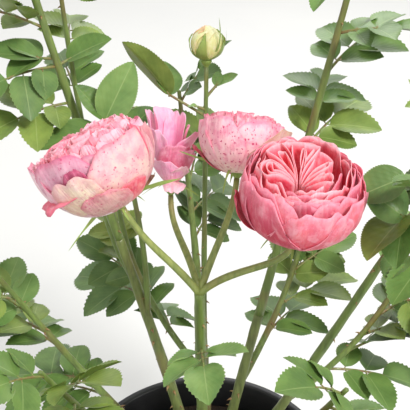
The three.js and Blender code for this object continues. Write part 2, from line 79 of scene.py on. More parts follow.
CANES = {
    "front": dict(root=-97, heading=-96, swing=0, reach=38.2, height=451, bow=1, foot=5.2, tip=4.0,
                  bough_end=0.42, leaves=5, size=0.95, seed=11, foliage_end=0.86),
    "left": dict(root=128, heading=146, swing=1.5, reach=181, height=738, bow=0.95, foot=5.4, tip=2.2,
                 bough_end=0.44, leaves=10, size=0.9, seed=23, foliage_end=0.97),
    "right": dict(root=-9, heading=-12, swing=-7, reach=175, height=604, bow=0.85, foot=5.0, tip=2.0,
                  bough_end=0.42, leaves=9, size=0.95, seed=53, foliage_end=0.97),
    "back_right": dict(root=37, heading=34, swing=-3, reach=136, height=712, bow=0.96, foot=5.0, tip=2.0,
                       bough_end=0.34, leaves=11, size=0.95, seed=61, foliage_end=0.98),
    "low_front_left": dict(root=-143, heading=-142, swing=-6, reach=140, height=408, bow=0.85, foot=4.2,
                           tip=1.9, bough_end=0.4, leaves=7, size=1.0, seed=71, foliage_end=0.97),
    "low_front_right": dict(root=-52, heading=-50, swing=5, reach=138, height=414, bow=0.85, foot=4.2,
                            tip=1.9, bough_end=0.4, leaves=7, size=1.0, seed=83, foliage_end=0.97),
    "low_left": dict(root=173, heading=178, swing=8, reach=158, height=452, bow=0.82, foot=4.4, tip=1.9,
                     bough_end=0.38, leaves=8, size=1.0, seed=97, foliage_end=0.97),
    "back": dict(root=83, heading=92, swing=6, reach=168, height=520, bow=1.0, foot=5.2, tip=1.9,
                 bough_end=0.42, leaves=8, size=0.95, seed=149, foliage_end=0.97),
}
SHOOTS = {
    "left_behind": dict(parent="left", at=0.37, tip=(-112, 104, 690), bulge=0.85, lift=0.15, foot=3.0,
                        end=1.7, leaves=9, size=0.9, seed=167, start=0.16, foliage_end=0.97),
    "inner_left": dict(parent="left", at=0.3, tip=(-72, 57, 547), bulge=-0.25, lift=0.5, foot=2.8,
                       end=1.7, leaves=4, size=0.85, seed=41, start=0.2, foliage_end=0.6),
    "middle": dict(parent="back", at=0.3, tip=(1, 92, 573), bulge=-0.35, lift=0.4, foot=3.0,
                   end=1.7, leaves=5, size=0.85, seed=39, start=0.2, foliage_end=0.62),
    "back_left": dict(parent="back", at=0.26, tip=(-79, 118, 432), bulge=0.9, lift=0.35, foot=3.2,
                      end=2.3, leaves=6, size=0.95, seed=113, start=0.25, foliage_end=0.74),
    "back_far_right": dict(parent="back_right", at=0.2, tip=(94, 112, 426), bulge=0.8, lift=0.35, foot=3.2,
                           end=2.3, leaves=6, size=0.95, seed=131, start=0.25, foliage_end=0.74),
    "low_right": dict(parent="right", at=0.3, tip=(167, 22, 448), bulge=0.75, lift=0.3, foot=3.0,
                      end=1.8, leaves=7, size=1.0, seed=103, start=0.25, foliage_end=0.97),
}
BLOOMS = {
    "bloom_left": dict(foot=(-56, -35, 522), axis=(-0.47, 0.21, 0.86), width=84, height=70, spin=10),
    "bloom_spent": dict(foot=(-26, 22, 498), axis=(0.03, 0.36, 0.93), width=43, height=68, spin=50),
    "bloom_middle": dict(foot=(23, 4, 523), axis=(0.1, 0.57, 0.81), width=66, height=48, spin=30),
    "bloom_right": dict(foot=(61, -47, 506), axis=(0.05, -0.09, 0.99), width=88, height=66, spin=0),
    "bloom_back_left": dict(shoot="back_left", width=74, height=56, spin=27),
    "bloom_back_right": dict(shoot="back_far_right", width=70, height=54, spin=70),
    "bud": dict(shoot="middle", width=26, height=33, spin=0),
}
STALKED = ("bloom_left", "bloom_spent", "bloom_middle", "bloom_right")

# The dressed leaves: two pairs of leaflets, each at a part of the stalk and with a part of the end
# leaflet's size, spread from the stalk by an angle and lifted by a slope
PAIRS = ((0.66, 0.84), (0.3, 0.66))
PAIR_SPREAD = (58, 72)
PAIR_LIFT = (-0.12, 0.22)
LEAFLET = {"narrow": 0.92, "stalk": 2.6, "stalk_radius": 0.55, "fold": 0.34}

# How many prickles a whole cane, a flower stalk and a twig carry, and the bits that lie on the compost
PRICKLES = {"cane": 22, "stalk": 26, "twig": 9}
CRUMBS = 420

# The faces across and along a petal: one of a row, one set by itself and a folded one. The profile
# of a petal and of a sepal has this many steps.
ROW_GRID = (16, 14)
SINGLE_GRID = (20, 18)
FOLD_GRID = (30, 8)
PETAL_STEPS = 28
SEPAL_STEPS = 16

# Where the seeded numbers of the bark, the leaves and the compost start
SEEDS = {"bark": 5, "leaves": 8, "compost": 19}

# The studio, in metres and watts
CAMERA_PLACE = (0, -0.496, 0.813)
SENSOR_WIDTH = 36
LIGHTS = {
    "key": dict(place=(1.3, -1.2, 2.5), power=62, size=0.55),
    "fill": dict(place=(-1.9, -1.2, 1.5), power=5, size=1.8),
    "rim": dict(place=(0.4, 1.9, 1.8), power=18, size=1.2),
}
LIGHTS_AIM = (0, 0, 0.48)
SKY = {"colour": (0.98, 0.99, 1.0), "strength": 0.78}
FLOOR = {"size": 7, "drop": 0.0005}

# Leaves that the camera sees one by one: where the stalk leaves its stem, its heading, rise and
# length, then each leaflet's heading, rise, roll, length and width, and its shade of green
SHOWN_LEAVES = {
    "left": (
        (0.71, 30, 20, 9, ((5, 30, 20, 38, 27, 1),)),
        (0.72, 190, 5, 12, ((192, 16, -10, 42, 30, 0), (235, -4, 0, 34, 25, 1), (150, 20, 0, 34, 24, 0))),
    ),
    "middle": (
        (0.885, 172, 30, 34, ((180, 57, 60, 58, 28, 2), (100, 38, 20, 34, 24, 1))),
        (0.93, 35, 38, 13, ((10, 30, 20, 20, 11, 3), (80, 36, 0, 15, 9, 3))),
        (0.9, 200, 30, 8, ((215, 20, 0, 10, 6, 3),)),
    ),
    "inner_left": (
        (0.97, 160, 20, 7, ((34, 58, 50, 50, 30, 3), (150, 48, 0, 36, 26, 1))),
        (0.9, 40, 30, 8, ((40, 32, 10, 32, 23, 0),)),
        (0.94, 215, 8, 10, ((212, 6, -6, 52, 36, 1),)),
    ),
    "right": (
        (0.8, 215, 10, 9, ((164, 34, -32, 36, 30, 3), (226, -10, 20, 46, 32, 2),
                           (251, -30, 20, 38, 27, 1))),
        (0.86, 150, 5, 18, ((190, -18, -34, 38, 26, 0),)),
    ),
    "back_right": (
        (0.93, 240, -12, 22, ((226, -30, 10, 50, 30, 3), (260, -10, 0, 36, 25, 1))),
    ),
}


def srgb(*tone):
    """A red, green and blue on the usual 0 to 255 scale, as linear values."""
    return tuple((c / 255 / 12.92) if c < 11 else ((c / 255 + 0.055) / 1.055) ** 2.4 for c in tone)


# The usual colour of each family of petals
PETAL_COLOURS = {
    "coral": srgb(238, 112, 128),
    "pale": srgb(252, 222, 214),
    "lilac": srgb(236, 150, 180),
    "cream": srgb(244, 234, 176),
}


class BushSizes(bpy.types.PropertyGroup):
    """Sizes that a user would change."""

    petal_thickness: bpy.props.FloatProperty(
        name="Petal thickness", description="Thickness of a petal", default=0.00035, unit="LENGTH")
    prickle_length: bpy.props.FloatProperty(
        name="Prickle length", description="Length of a prickle on a cane", default=0.005, unit="LENGTH")
    teeth: bpy.props.IntProperty(
        name="Leaf teeth", description="Teeth along each side of a leaflet", default=12, min=4, max=16)
    camera_pitch: bpy.props.FloatProperty(
        name="Camera pitch", description="How far the camera looks down", default=math.radians(32),
        subtype="ANGLE")
    camera_lens: bpy.props.FloatProperty(
        name="Lens", description="Focal length of the camera", default=70.0, unit="CAMERA")


class BushColours(bpy.types.PropertyGroup):
    """Colours that a user would change."""

    coral: bpy.props.FloatVectorProperty(
        name="Coral petals", description="Full blooms", default=PETAL_COLOURS["coral"], subtype="COLOR")
    pale: bpy.props.FloatVectorProperty(
        name="Pale petals", description="Fading blooms", default=PETAL_COLOURS["pale"], subtype="COLOR")
    lilac: bpy.props.FloatVectorProperty(
        name="Lilac petals", description="Spent bloom", default=PETAL_COLOURS["lilac"], subtype="COLOR")
    speckle: bpy.props.FloatVectorProperty(
        name="Speckles", description="Rain marks on petals", default=srgb(196, 52, 104), subtype="COLOR")
    cream: bpy.props.FloatVectorProperty(
        name="Bud", description="Petals of the bud", default=PETAL_COLOURS["cream"], subtype="COLOR")
    leaf: bpy.props.FloatVectorProperty(
        name="Leaves", description="Middle green of leaves", default=srgb(96, 130, 66), subtype="COLOR")
    bark: bpy.props.FloatVectorProperty(
        name="Bark", description="Young green bark", default=srgb(124, 136, 72), subtype="COLOR")
    pot: bpy.props.FloatVectorProperty(
        name="Pot", description="Black plastic", default=srgb(24, 24, 26), subtype="COLOR")
    soil: bpy.props.FloatVectorProperty(
        name="Compost", description="Moist compost", default=srgb(62, 45, 33), subtype="COLOR")
    floor: bpy.props.FloatVectorProperty(
        name="Floor", description="Pale studio floor", default=srgb(226, 225, 221), subtype="COLOR")


def toward(heading, rise):
    """The direction with this heading round +Z and rise over level."""
    level = math.cos(math.radians(rise))
    turn = math.radians(heading)
    return np.array((level * math.cos(turn), level * math.sin(turn), math.sin(math.radians(rise))))


def unit(vector):
    """The vector at length one."""
    return vector / np.linalg.norm(vector)


def turned(vector, axis, degrees):
    """The vector turned about an axis of length one."""
    angle = math.radians(degrees)
    return (vector * math.cos(angle) + np.cross(axis, vector) * math.sin(angle)
            + axis * np.dot(axis, vector) * (1 - math.cos(angle)))


class Draw:
    """Seeded numbers from 0 to 1, the same as the solids are grown with."""

    def __init__(self, seed):
        self.state = seed

    def next(self):
        """The next number."""
        self.state = (self.state * 1664525 + 1013904223) % 4294967296
        return self.state / 4294967296

    def between(self, low, high):
        """The next number in a range."""
        return low + (high - low) * self.next()


def tangent(line, t):
    """The direction of a line at a fraction of it."""
    low, high = max(t - 0.0001, 0), min(t + 0.0001, 1)
    return unit(line(high) - line(low))


def length_of(line):
    """The length of a line."""
    places = np.array([line(i / 200) for i in range(201)])
    return float(np.linalg.norm(np.diff(places, axis=0), axis=1).sum())


def span(line, start, end):
    """Part of a line."""
    return lambda t: line(start + (end - start) * t)


def straight(start, end):
    """A straight line."""
    return lambda t: start + (end - start) * t


def bend(*points):
    """A Bezier line of three or four points."""
    degree = len(points) - 1

    def place(t):
        weights = (math.comb(degree, i) * (1 - t) ** (degree - i) * t ** i for i in range(degree + 1))
        return sum(weight * point for weight, point in zip(weights, points))
    return place


def cane_line(cane):
    """The line of a cane from the stump to its tip."""
    base = SOIL_TOP + STUMP["cane_up"]

    def place(t):
        out = STUMP["cane_out"] + (cane["reach"] - STUMP["cane_out"]) * max(t, 0) ** cane["bow"]
        turn = math.radians(cane["heading"] + cane["swing"] * t
                            + (cane["root"] - cane["heading"]) * (1 - t) ** 3)
        return np.array((out * math.cos(turn), out * math.sin(turn), base + (cane["height"] - base) * t))
    return place


def shoot_line(shoot, parent):
    """The line of a side shoot from inside its parent to its tip."""
    root = parent(shoot["at"])
    tip = np.array(shoot["tip"], float)
    out = np.array((shoot["bulge"], shoot["bulge"], shoot["lift"]))
    return bend(root, root + out * (tip - root), tip)


def stalk_line(bloom):
    """The line of a flower stalk from the truss node to the foot of its bloom."""
    start, foot = np.array(TRUSS_NODE, float), np.array(bloom["foot"], float)
    reach = np.linalg.norm(start - foot) * 0.36
    level = (foot - start) * (1, 1, 0)
    first = start + 0.4 * level + (0, 0, reach)
    return bend(start, first, foot - unit(np.array(bloom["axis"])) * reach, foot)


def leaf_normal(direction, roll):
    """The normal of a leaf, as near upright as its direction lets it, then rolled."""
    up = np.array((0.0, 0.0, 1.0))
    normal = up - direction * np.dot(up, direction)
    if np.linalg.norm(normal) < 0.05:
        normal = np.array((0.0, -1.0, 0.0))
    return turned(unit(normal), direction, roll)


def blade_corners(base, direction, normal, length, width):
    """The corners that a single leaflet's solid has."""
    side = unit(np.cross(normal, direction))
    corners = []
    for k in range(6):
        across, front = math.sin(k * math.pi / 3), math.cos(k * math.pi / 3)
        along = 0.5 + 0.5 * front
        across *= 1.18 - 0.36 * along
        lift = 0.16 * width * abs(across) - LEAF["droop"] * length * along * along
        corners.append(base + direction * length * along + side * 0.5 * width * across + normal * lift)
    for half in (-0.5, 0.5):
        lift = LEAF["thick"] * half - LEAF["droop"] * length * LEAF["crest"] ** 2
        corners.append(base + direction * length * LEAF["crest"] + normal * lift)
    return corners


def pair_corners(centre, direction, normal, length, width):
    """The corners that a pair of opposite leaflets has in the solids."""
    ring = ((1, 0), (0.5, 1), (0, 0.14), (-0.5, 1), (-1, 0), (-0.5, -1), (0, -0.14), (0.5, -1))
    corners = [centre + normal * 0.5 * LEAF["thick"], centre - normal * 0.5 * LEAF["thick"]]
    for out, across in ring:
        hand = -1 if out < 0 else 1
        way = turned(direction, normal, hand * LEAF["pair_angle"])
        side = np.cross(normal, way) * hand
        corners.append(centre + way * length * abs(out) + side * 0.5 * width * across
                       - normal * LEAF["droop"] * length * out * out)
    return corners


def compound_leaf(root, heading, rise, roll, size):
    """The line of a compound leaf's stalk, and the corners of its blades in the solids."""
    stalk = LEAF["rachis"] * size
    direction = toward(heading, rise)
    end = root + direction * stalk - (0, 0, 0.16 * stalk)
    line = bend(root, root + direction * 0.5 * stalk, end)
    last = tangent(line, 1)
    length, width = LEAF["length"] * size, LEAF["width"] * size
    corners = blade_corners(line(1) - last * LEAF["sink"], last, leaf_normal(last, roll),
                            length + LEAF["sink"], width)
    at, part = LEAF["pair_at"], LEAF["pair_part"]
    way = tangent(line, at)
    corners += pair_corners(line(at), way, leaf_normal(way, roll), length * part, width * part)
    return line, np.array(corners)


class Plant:
    """The lines of every limb and the place of every leaf, by the rule that the solids follow."""

    def __init__(self):
        self.lines, self.leaves, self.shown, self.spots = {}, [], [], []
        self.blooms = {name: dict(bloom) for name, bloom in BLOOMS.items()}
        limbs = []
        for name, cane in CANES.items():
            line = self.lines[name] = cane_line(cane)
            limbs += self.sample(name, "bough", span(line, 0, cane["bough_end"]), cane["foot"])
            limbs += self.sample(name, "stem", span(line, cane["bough_end"], 1), cane["foot"])
        for name, shoot in SHOOTS.items():
            line = self.lines[name] = shoot_line(shoot, self.lines[shoot["parent"]])
            limbs += self.sample(name, "stem", line, shoot["foot"])
        for name in STALKED:
            line = self.lines[name] = stalk_line(BLOOMS[name])
            limbs += self.sample(name, "stalk", line, PEDICEL["root"])
        for bloom in self.blooms.values():
            if "shoot" in bloom:
                line = self.lines[bloom["shoot"]]
                bloom["foot"], bloom["axis"] = line(1), tangent(line, 1)
        self.owners = np.array([limb[0] for limb in limbs])
        self.kinds = np.array([limb[1] for limb in limbs])
        self.radii = np.array([limb[2] for limb in limbs])
        self.places = np.array([limb[3] for limb in limbs])
        self.spaces = []
        for bloom in self.blooms.values():
            centre = np.array(bloom["foot"]) + unit(np.array(bloom["axis"])) * 0.55 * bloom["height"]
            self.spaces.append((centre, 0.5 * max(bloom["width"], bloom["height"]) + LEAF["clearance"]))
        for wanted in (True, False):
            for name, limb in (*CANES.items(), *SHOOTS.items()):
                if (name in SHOWN_LEAVES) == wanted:
                    self.grow(name, limb)

    @staticmethod
    def sample(owner, kind, line, radius):
        """Places along a limb."""
        count = math.ceil(length_of(line) / 7)
        return [(owner, kind, radius, line(i / count)) for i in range(count + 1)]

    def grow(self, name, limb):
        """The leaves of one mass: those that the camera sees one by one, then the seeded ones."""
        line = self.lines[name]
        for at, heading, rise, length, leaflets in SHOWN_LEAVES.get(name, ()):
            root = line(at)
            end = root + toward(heading, rise) * length
            self.shown.append((name, root, end, leaflets))
            for way, lift, _roll, blade, width, _green in leaflets:
                out = toward(way, lift)
                for i in range(5):
                    place = end - out * LEAF["sink"] + out * blade * i / 4
                    self.spots.append((name, place, 0.5 * width + 2 * LEAF["clearance"]))
        start = limb.get("start", limb.get("bough_end", 0) + 0.06)
        draw = Draw(limb["seed"])
        heading = draw.between(0, 360)
        for i in range(limb["leaves"]):
            part = i / (limb["leaves"] - 1)
            root = line(start + (limb["foliage_end"] - start) * part)
            aim = heading + draw.between(-18, 18)
            rise = 2 + 38 * part + draw.between(-16, 16)
            roll = draw.between(-34, 34)
            size = limb["size"] * (1 - 0.3 * part * part) * draw.between(0.88, 1.1)
            for shift in SHIFTS:
                stalk, corners = compound_leaf(root, aim + shift, rise, roll, size)
                if self.fits(corners, name):
                    self.leaves.append((name, stalk, roll, size, part))
                    break
            heading += GOLDEN_ANGLE

    def fits(self, corners, owner):
        """True where the whole leaf is nearest to its own stem and clear of all else."""
        if np.any((corners[:, 2] < POT["height"] + 8)
                  & (np.hypot(corners[:, 0], corners[:, 1]) < POT["top"] + 16)):
            return False
        reach = np.linalg.norm(corners[:, None, :] - self.places[None, :, :], axis=2)
        own = self.owners == owner
        stem = own & (self.kinds == "stem")
        bough = own & (self.kinds != "stem")
        if np.any(reach[:, bough] < self.radii[bough] + LEAF["clearance"]):
            return False
        if np.any(reach[:, stem].min(axis=1) + LEAF["clearance"] > reach[:, ~own].min(axis=1)):
            return False
        for centre, radius in self.spaces:
            if np.any(np.linalg.norm(corners - centre, axis=1) < radius):
                return False
        return not any(name != owner and np.any(np.linalg.norm(corners - place, axis=1) < radius)
                       for name, place, radius in self.spots)


PLANT = Plant()


# Mesh helpers. A sheet is a grid whose points a formula places; u runs from -1 to 1, v from 0 to 1.
# Doubles closer than MERGE, in metres, become one vertex when a piece is finished.
MERGE = 0.000004


def sheet(bm, across, along, formula, material=0):
    """Adds a grid and moves its points by formula(u, v), in millimetres."""
    grid = bmesh.ops.create_grid(bm, x_segments=across, y_segments=along, size=1, calc_uvs=True)
    for vert in grid["verts"]:
        u, v = vert.co.x, 0.5 * (vert.co.y + 1)
        vert.co = Vector(formula(u, v)) * MM
    faces = {face for vert in grid["verts"] for face in vert.link_faces}
    for face in faces:
        face.material_index = material
        face.smooth = True
    return grid["verts"]


def petal_sheet(bm, across, along, formula, material):
    """A sheet with a second side a petal's thickness below it, and a rim that joins the two."""
    front = sheet(bm, across, along, formula, material)
    for face in {face for vert in front for face in vert.link_faces}:
        face.normal_update()
    back = sheet(bm, across, along, lambda u, v: (u, v, 0), material)
    for face in {face for vert in back for face in vert.link_faces}:
        face.normal_flip()
    thickness = bpy.context.scene.rose_sizes.petal_thickness
    for near, far in zip(front, back):
        near.normal_update()
        far.co = near.co - near.normal * thickness
    row, last = across + 1, (across + 1) * along
    ring = [*range(0, row), *range(2 * row - 1, last + row, row), *range(last + row - 2, last - 1, -1),
            *range(last - row, 0, -row)]
    layer = bm.loops.layers.uv.active
    for i, j in zip(ring, ring[1:] + ring[:1]):
        corners = ((front[j], j), (front[i], i), (back[i], i), (back[j], j))
        face = bm.faces.new([vert for vert, _ in corners])
        face.material_index = material
        face.smooth = True
        for loop, (_, index) in zip(face.loops, corners):
            loop[layer].uv = (index % row / across, index // row / along)


def new_bmesh():
    """An empty bmesh with a UV map."""
    bm = bmesh.new()
    bm.loops.layers.uv.new("UVMap")
    return bm


def tube(bm, line, radius, sides, steps, material=0, bump=None):
    """A closed tube along a line. radius(t) is in millimetres, bump(t, turn) adds to it."""
    start, end = tangent(line, 0), tangent(line, 1)
    side = np.array((1.0, 0.0, 0.0)) if abs(start[2]) > 0.8 else np.array((0.0, 0.0, 1.0))
    rings = []
    for j in range(steps + 1):
        t = j / steps
        way = tangent(line, t)
        side = unit(side - way * np.dot(side, way))
        rings.append((line(t), side, np.cross(way, side)))

    def place(u, v):
        step = min(int(round(v * steps)), steps)
        centre, first, second = rings[step]
        turn = math.pi * u
        size = radius(v) + (bump(v, turn) if bump else 0)
        return centre + (first * math.cos(turn) + second * math.sin(turn)) * size
    verts = sheet(bm, sides, steps, place, material)
    for ring in (verts[:sides], verts[-sides - 1:-1]):
        centre = sum((vert.co for vert in ring), Vector()) / len(ring)
        way = Vector(end if ring[0] is not verts[0] else -start)
        top = bm.verts.new(centre + way * 0.3 * radius(0) * MM)
        for i, vert in enumerate(ring):
            after = ring[(i + 1) % len(ring)]
            corners = (vert, after, top) if ring[0] is not verts[0] else (after, vert, top)
            face = bm.faces.new(corners)
            face.material_index = material
            face.smooth = True


def finished(bm, name, materials, replaced):
    """Turns a bmesh into a piece of the object that rides on the frame and stands for CAD nodes."""
    bmesh.ops.remove_doubles(bm, verts=bm.verts, dist=MERGE)
    mesh = bpy.data.meshes.new(name)
    bm.to_mesh(mesh)
    bm.free()
    for material in materials:
        mesh.materials.append(material)
    piece = bpy.data.objects.new(name, mesh)
    bpy.context.collection.objects.link(piece)
    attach(piece, "root")
    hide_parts(*replaced)


# Materials. A mix of colours takes its factor and its colours at these inputs, and gives its result
# at this output.
MIX_FACTOR, MIX_COLOURS, MIX_RESULT = 0, (6, 7), 2


class Shader:
    """A procedural material, built node by node."""

    def __init__(self, name, values):
        self.material = bpy.data.materials.new(name)
        self.material.use_nodes = True
        self.tree = self.material.node_tree
        self.bsdf = self.tree.nodes["Principled BSDF"]
        for socket, value in values.items():
            self.bsdf.inputs[socket].default_value = value
        self.coords = self.tree.nodes.new("ShaderNodeTexCoord")

    def link(self, source, target):
        """Joins two sockets."""
        self.tree.links.new(source, target)

    def mapped(self, space, scale):
        """Coordinates of a kind, scaled."""
        node = self.tree.nodes.new("ShaderNodeMapping")
        node.inputs["Scale"].default_value = scale
        self.link(self.coords.outputs[space], node.inputs["Vector"])
        return node.outputs["Vector"]

    def noise(self, vector, scale, detail=3.0, roughness=0.5):
        """Noise over a vector."""
        node = self.tree.nodes.new("ShaderNodeTexNoise")
        node.inputs["Scale"].default_value = scale
        node.inputs["Detail"].default_value = detail
        node.inputs["Roughness"].default_value = roughness
        self.link(vector, node.inputs["Vector"])
        return node.outputs["Fac"]

    def ramp(self, source, stops):
        """A colour ramp over a value."""
        node = self.tree.nodes.new("ShaderNodeValToRGB")
        elements = node.color_ramp.elements
        while len(elements) < len(stops):
            elements.new(0.5)
        for element, (place, colour) in zip(elements, stops):
            element.position = place
            element.color = (*colour, 1)
        self.link(source, node.inputs["Fac"])
        return node.outputs["Color"]

    def mask(self, source, low, high):
        """A value that goes from 0 to 1 between two levels."""
        node = self.tree.nodes.new("ShaderNodeMapRange")
        node.inputs["From Min"].default_value = low
        node.inputs["From Max"].default_value = high
        self.link(source, node.inputs["Value"])
        return node.outputs["Result"]

    def mix(self, factor, first, second):
        """Mixes two colours by a socket's value; each colour is a socket or a plain one."""
        node = self.tree.nodes.new("ShaderNodeMix")
        node.data_type = "RGBA"
        self.link(factor, node.inputs[MIX_FACTOR])
        for number, colour in zip(MIX_COLOURS, (first, second)):
            if isinstance(colour, bpy.types.NodeSocket):
                self.link(colour, node.inputs[number])
            else:
                node.inputs[number].default_value = (*colour, 1)
        return node.outputs[MIX_RESULT]

    def value(self, operation, *terms):
        """A sum on values; each term is a socket or a plain value."""
        node = self.tree.nodes.new("ShaderNodeMath")
        node.operation = operation
        for socket, term in zip(node.inputs, terms):
            if isinstance(term, bpy.types.NodeSocket):
                self.link(term, socket)
            else:
                socket.default_value = term
        return node.outputs[0]

    def times(self, first, second):
        """The product of two values."""
        return self.value("MULTIPLY", first, second)

    def part(self, space, axis):
        """One coordinate."""
        node = self.tree.nodes.new("ShaderNodeSeparateXYZ")
        self.link(self.coords.outputs[space], node.inputs["Vector"])
        return node.outputs[axis]

    def relief(self, height, strength, distance):
        """Bump from a height."""
        node = self.tree.nodes.new("ShaderNodeBump")
        node.inputs["Strength"].default_value = strength
        node.inputs["Distance"].default_value = distance
        self.link(height, node.inputs["Height"])
        self.link(node.outputs["Normal"], self.bsdf.inputs["Normal"])

    def colour(self, socket):
        """The surface's colour."""
        self.link(socket, self.bsdf.inputs["Base Color"])
        return self.material


def blend(first, second, part):
    """A colour between two others."""
    return tuple(a + (b - a) * part for a, b in zip(first, second))


def green_material(name, light, dark, roughness=0.42):
    """Leaf tissue: pale midrib and edge, faint side veins over a mottled green, with a soft gloss."""
    if name in bpy.data.materials:
        return bpy.data.materials[name]
    shader = Shader(name, {"Roughness": roughness, "Specular IOR Level": 0.34, "Subsurface Weight": 0.08,
                           "Subsurface Scale": 0.002, "Coat Weight": 0.06, "Coat Roughness": 0.35})
    cloud = shader.noise(shader.mapped("Object", (1, 1, 1)), 60, 4)
    base = shader.ramp(cloud, ((0.3, dark), (0.7, light)))
    aside = shader.value("ABSOLUTE", shader.value("SUBTRACT", shader.part("UV", "X"), 0.5))
    fan_out = shader.value("MULTIPLY_ADD", shader.value("POWER", aside, 0.8), -0.75, shader.part("UV", "Y"))
    wave = shader.value("SINE", shader.value("MULTIPLY", fan_out, 50.0))
    side_vein = shader.mask(wave, 0.86, 1.0)
    pale = blend(light, (0.5, 0.58, 0.26), 0.35)
    base = shader.mix(shader.times(side_vein, 0.09), base, pale)
    base = shader.mix(shader.times(shader.mask(aside, 0.022, 0.006), 0.7), base, pale)
    base = shader.mix(shader.times(shader.mask(aside, 0.47, 0.495), 0.4), base, pale)
    shader.relief(wave, 0.08, -0.0003)
    return shader.colour(base)


def bark_material(name, light, dark):
    """Young bark: streaked along the cane, with brown patches and a dull gloss."""
    shader = Shader(name, {"Roughness": 0.48, "Coat Weight": 0.1})
    streak = shader.noise(shader.mapped("Object", (1, 1, 0.12)), 300, 4)
    cloud = shader.noise(shader.mapped("Object", (1, 1, 1)), 22, 2)
    brown = srgb(134, 100, 62)
    base = shader.ramp(streak, ((0.3, dark), (0.62, light)))
    base = shader.mix(shader.times(shader.mask(cloud, 0.5, 0.66), 0.55), base, brown)
    shader.relief(streak, 0.5, 0.0006)
    return shader.colour(base)


def plain_material(name, light, dark, scale, roughness, bump, distance):
    """A mottled surface with fine grain."""
    shader = Shader(name, {"Roughness": roughness})
    cloud = shader.noise(shader.mapped("Object", (1, 1, 1)), scale, 5, 0.6)
    grain = shader.noise(shader.mapped("Object", (1, 1, 1)), scale * 9, 3)
    base = shader.ramp(cloud, ((0.32, dark), (0.7, light)))
    shader.relief(grain, bump, distance)
    return shader.colour(base)


# Leaves, twigs, bark and prickles

def leaflet(bm, base, direction, normal, length, width, material, detail, wave):
    """A toothed leaflet folded on its midrib, drooping, with a wavy edge."""
    teeth = bpy.context.scene.rose_sizes.teeth
    side = unit(np.cross(normal, direction))
    rows = 4 * teeth if detail else 2 * teeth
    columns = 8 if detail else 2
    bite = 0.5 if detail else 1

    def place(u, v):
        row = int(round(v * rows))
        outline = 0
        if 0 < row < rows:
            outline = math.sin(math.pi * min(v, 1) ** 0.74) ** 0.72 * (1.06 - 0.16 * v)
        edge = abs(u) > 0.99 and 1 < row < rows - 1
        tooth = 1 + bite * (0.03 if row % 2 else -0.05) if edge else 1
        forward = 0.6 / rows if edge and row % 2 else 0
        along = v + forward + 0.07 * abs(u) * math.sin(math.pi * v)
        across = 0.5 * width * u * outline * tooth
        lift = LEAFLET["fold"] * abs(across) - LEAF["droop"] * length * v * v
        lift += wave * math.sin(7 * v + (1.6 if u > 0 else 0)) * u * u * outline
        if detail:
            lift += 0.25 * math.sin(50 * (v - 0.43 * abs(u) ** 0.8)) * abs(u) * (1 - abs(u)) * 2
        return base + direction * length * along + side * across + normal * lift
    sheet(bm, columns, rows, place, material)


class Blade:
    """The place of one leaflet, to tell whether another would cut through it."""

    ALONG = (0.12, 0.3, 0.5, 0.7, 0.92)
    ACROSS = (-0.9, -0.45, 0, 0.45, 0.9)

    def __init__(self, base, direction, normal, length, width):
        self.base, self.length, self.half = base, length, 0.5 * width
        self.axes = np.array((direction, unit(np.cross(normal, direction)), normal))
        self.middle = base + direction * 0.5 * length
        grid = np.array([(v, u) for v in self.ALONG for u in self.ACROSS])
        across = self.outline(grid[:, 0]) * grid[:, 1]
        flat = np.column_stack((grid[:, 0] * length, across, self.lift(grid[:, 0], across)))
        self.spots = base + flat @ self.axes

    def outline(self, v):
        """Half the leaflet's width at a fraction of its length."""
        return self.half * np.sin(math.pi * v ** 0.74) ** 0.72

    def lift(self, v, across):
        """How far the leaflet's surface lies over its own plane."""
        return LEAFLET["fold"] * np.abs(across) - LEAF["droop"] * self.length * v * v

    def heights(self, spots):
        """How far each spot that is over or under the leaflet lies from its surface."""
        along, across, up = ((spots - self.base) @ self.axes.T).T
        v = np.clip(along / self.length, 0, 1)
        return (up - self.lift(v, across))[(v > 0) & (v < 1) & (np.abs(across) < self.outline(v))]

    def cuts(self, other, slack=0.2):
        """True where either leaflet reaches through the other."""
        if np.linalg.norm(self.middle - other.middle) > 0.5 * (self.length + other.length):
            return False
        for heights in (self.heights(other.spots), other.heights(self.spots)):
            if len(heights) and heights.min() < -slack and heights.max() > slack:
                return True
        return False


def leaf_on_stalk(leaves, twigs, stalk, roll, size, greens, draw, others):
    """A compound leaf, without the leaflets that would cut through any of the others."""
    length, width = LEAF["length"] * size, LEAF["width"] * size * LEAFLET["narrow"]
    tube(twigs, stalk, lambda t: 1.25 - 0.45 * t, 6, 6, 1)
    last = tangent(stalk, 1)
    green = greens[int(draw.next() * len(greens)) % len(greens)]
    own = []

    def clear(*place):
        blade = Blade(*place)
        if any(blade.cuts(other) for other in others):
            return False
        own.append(blade)
        return True
    place = (stalk(1) - last * 1.5, last, leaf_normal(last, roll), length, width)
    wave = draw.between(0.4, 1.6)
    if clear(*place):
        leaflet(leaves, *place, green, False, wave)
    for at, part in PAIRS:
        way = tangent(stalk, at)
        normal = leaf_normal(way, roll)
        for hand in (-1, 1):
            aside = turned(way, normal, hand * draw.between(*PAIR_SPREAD))
            out = unit(aside + normal * draw.between(*PAIR_LIFT))
            foot = stalk(at)
            start = foot + out * LEAFLET["stalk"]
            own_normal = unit(normal - out * np.dot(normal, out))
            place = (start, out, own_normal, length * part - LEAFLET["stalk"], width * part)
            wave = draw.between(0.3, 1.4)
            if clear(*place):
                tube(twigs, straight(foot, start + out * 1.5), lambda t: LEAFLET["stalk_radius"], 5, 1, 1)
                leaflet(leaves, *place, green, False, wave)
    others += own


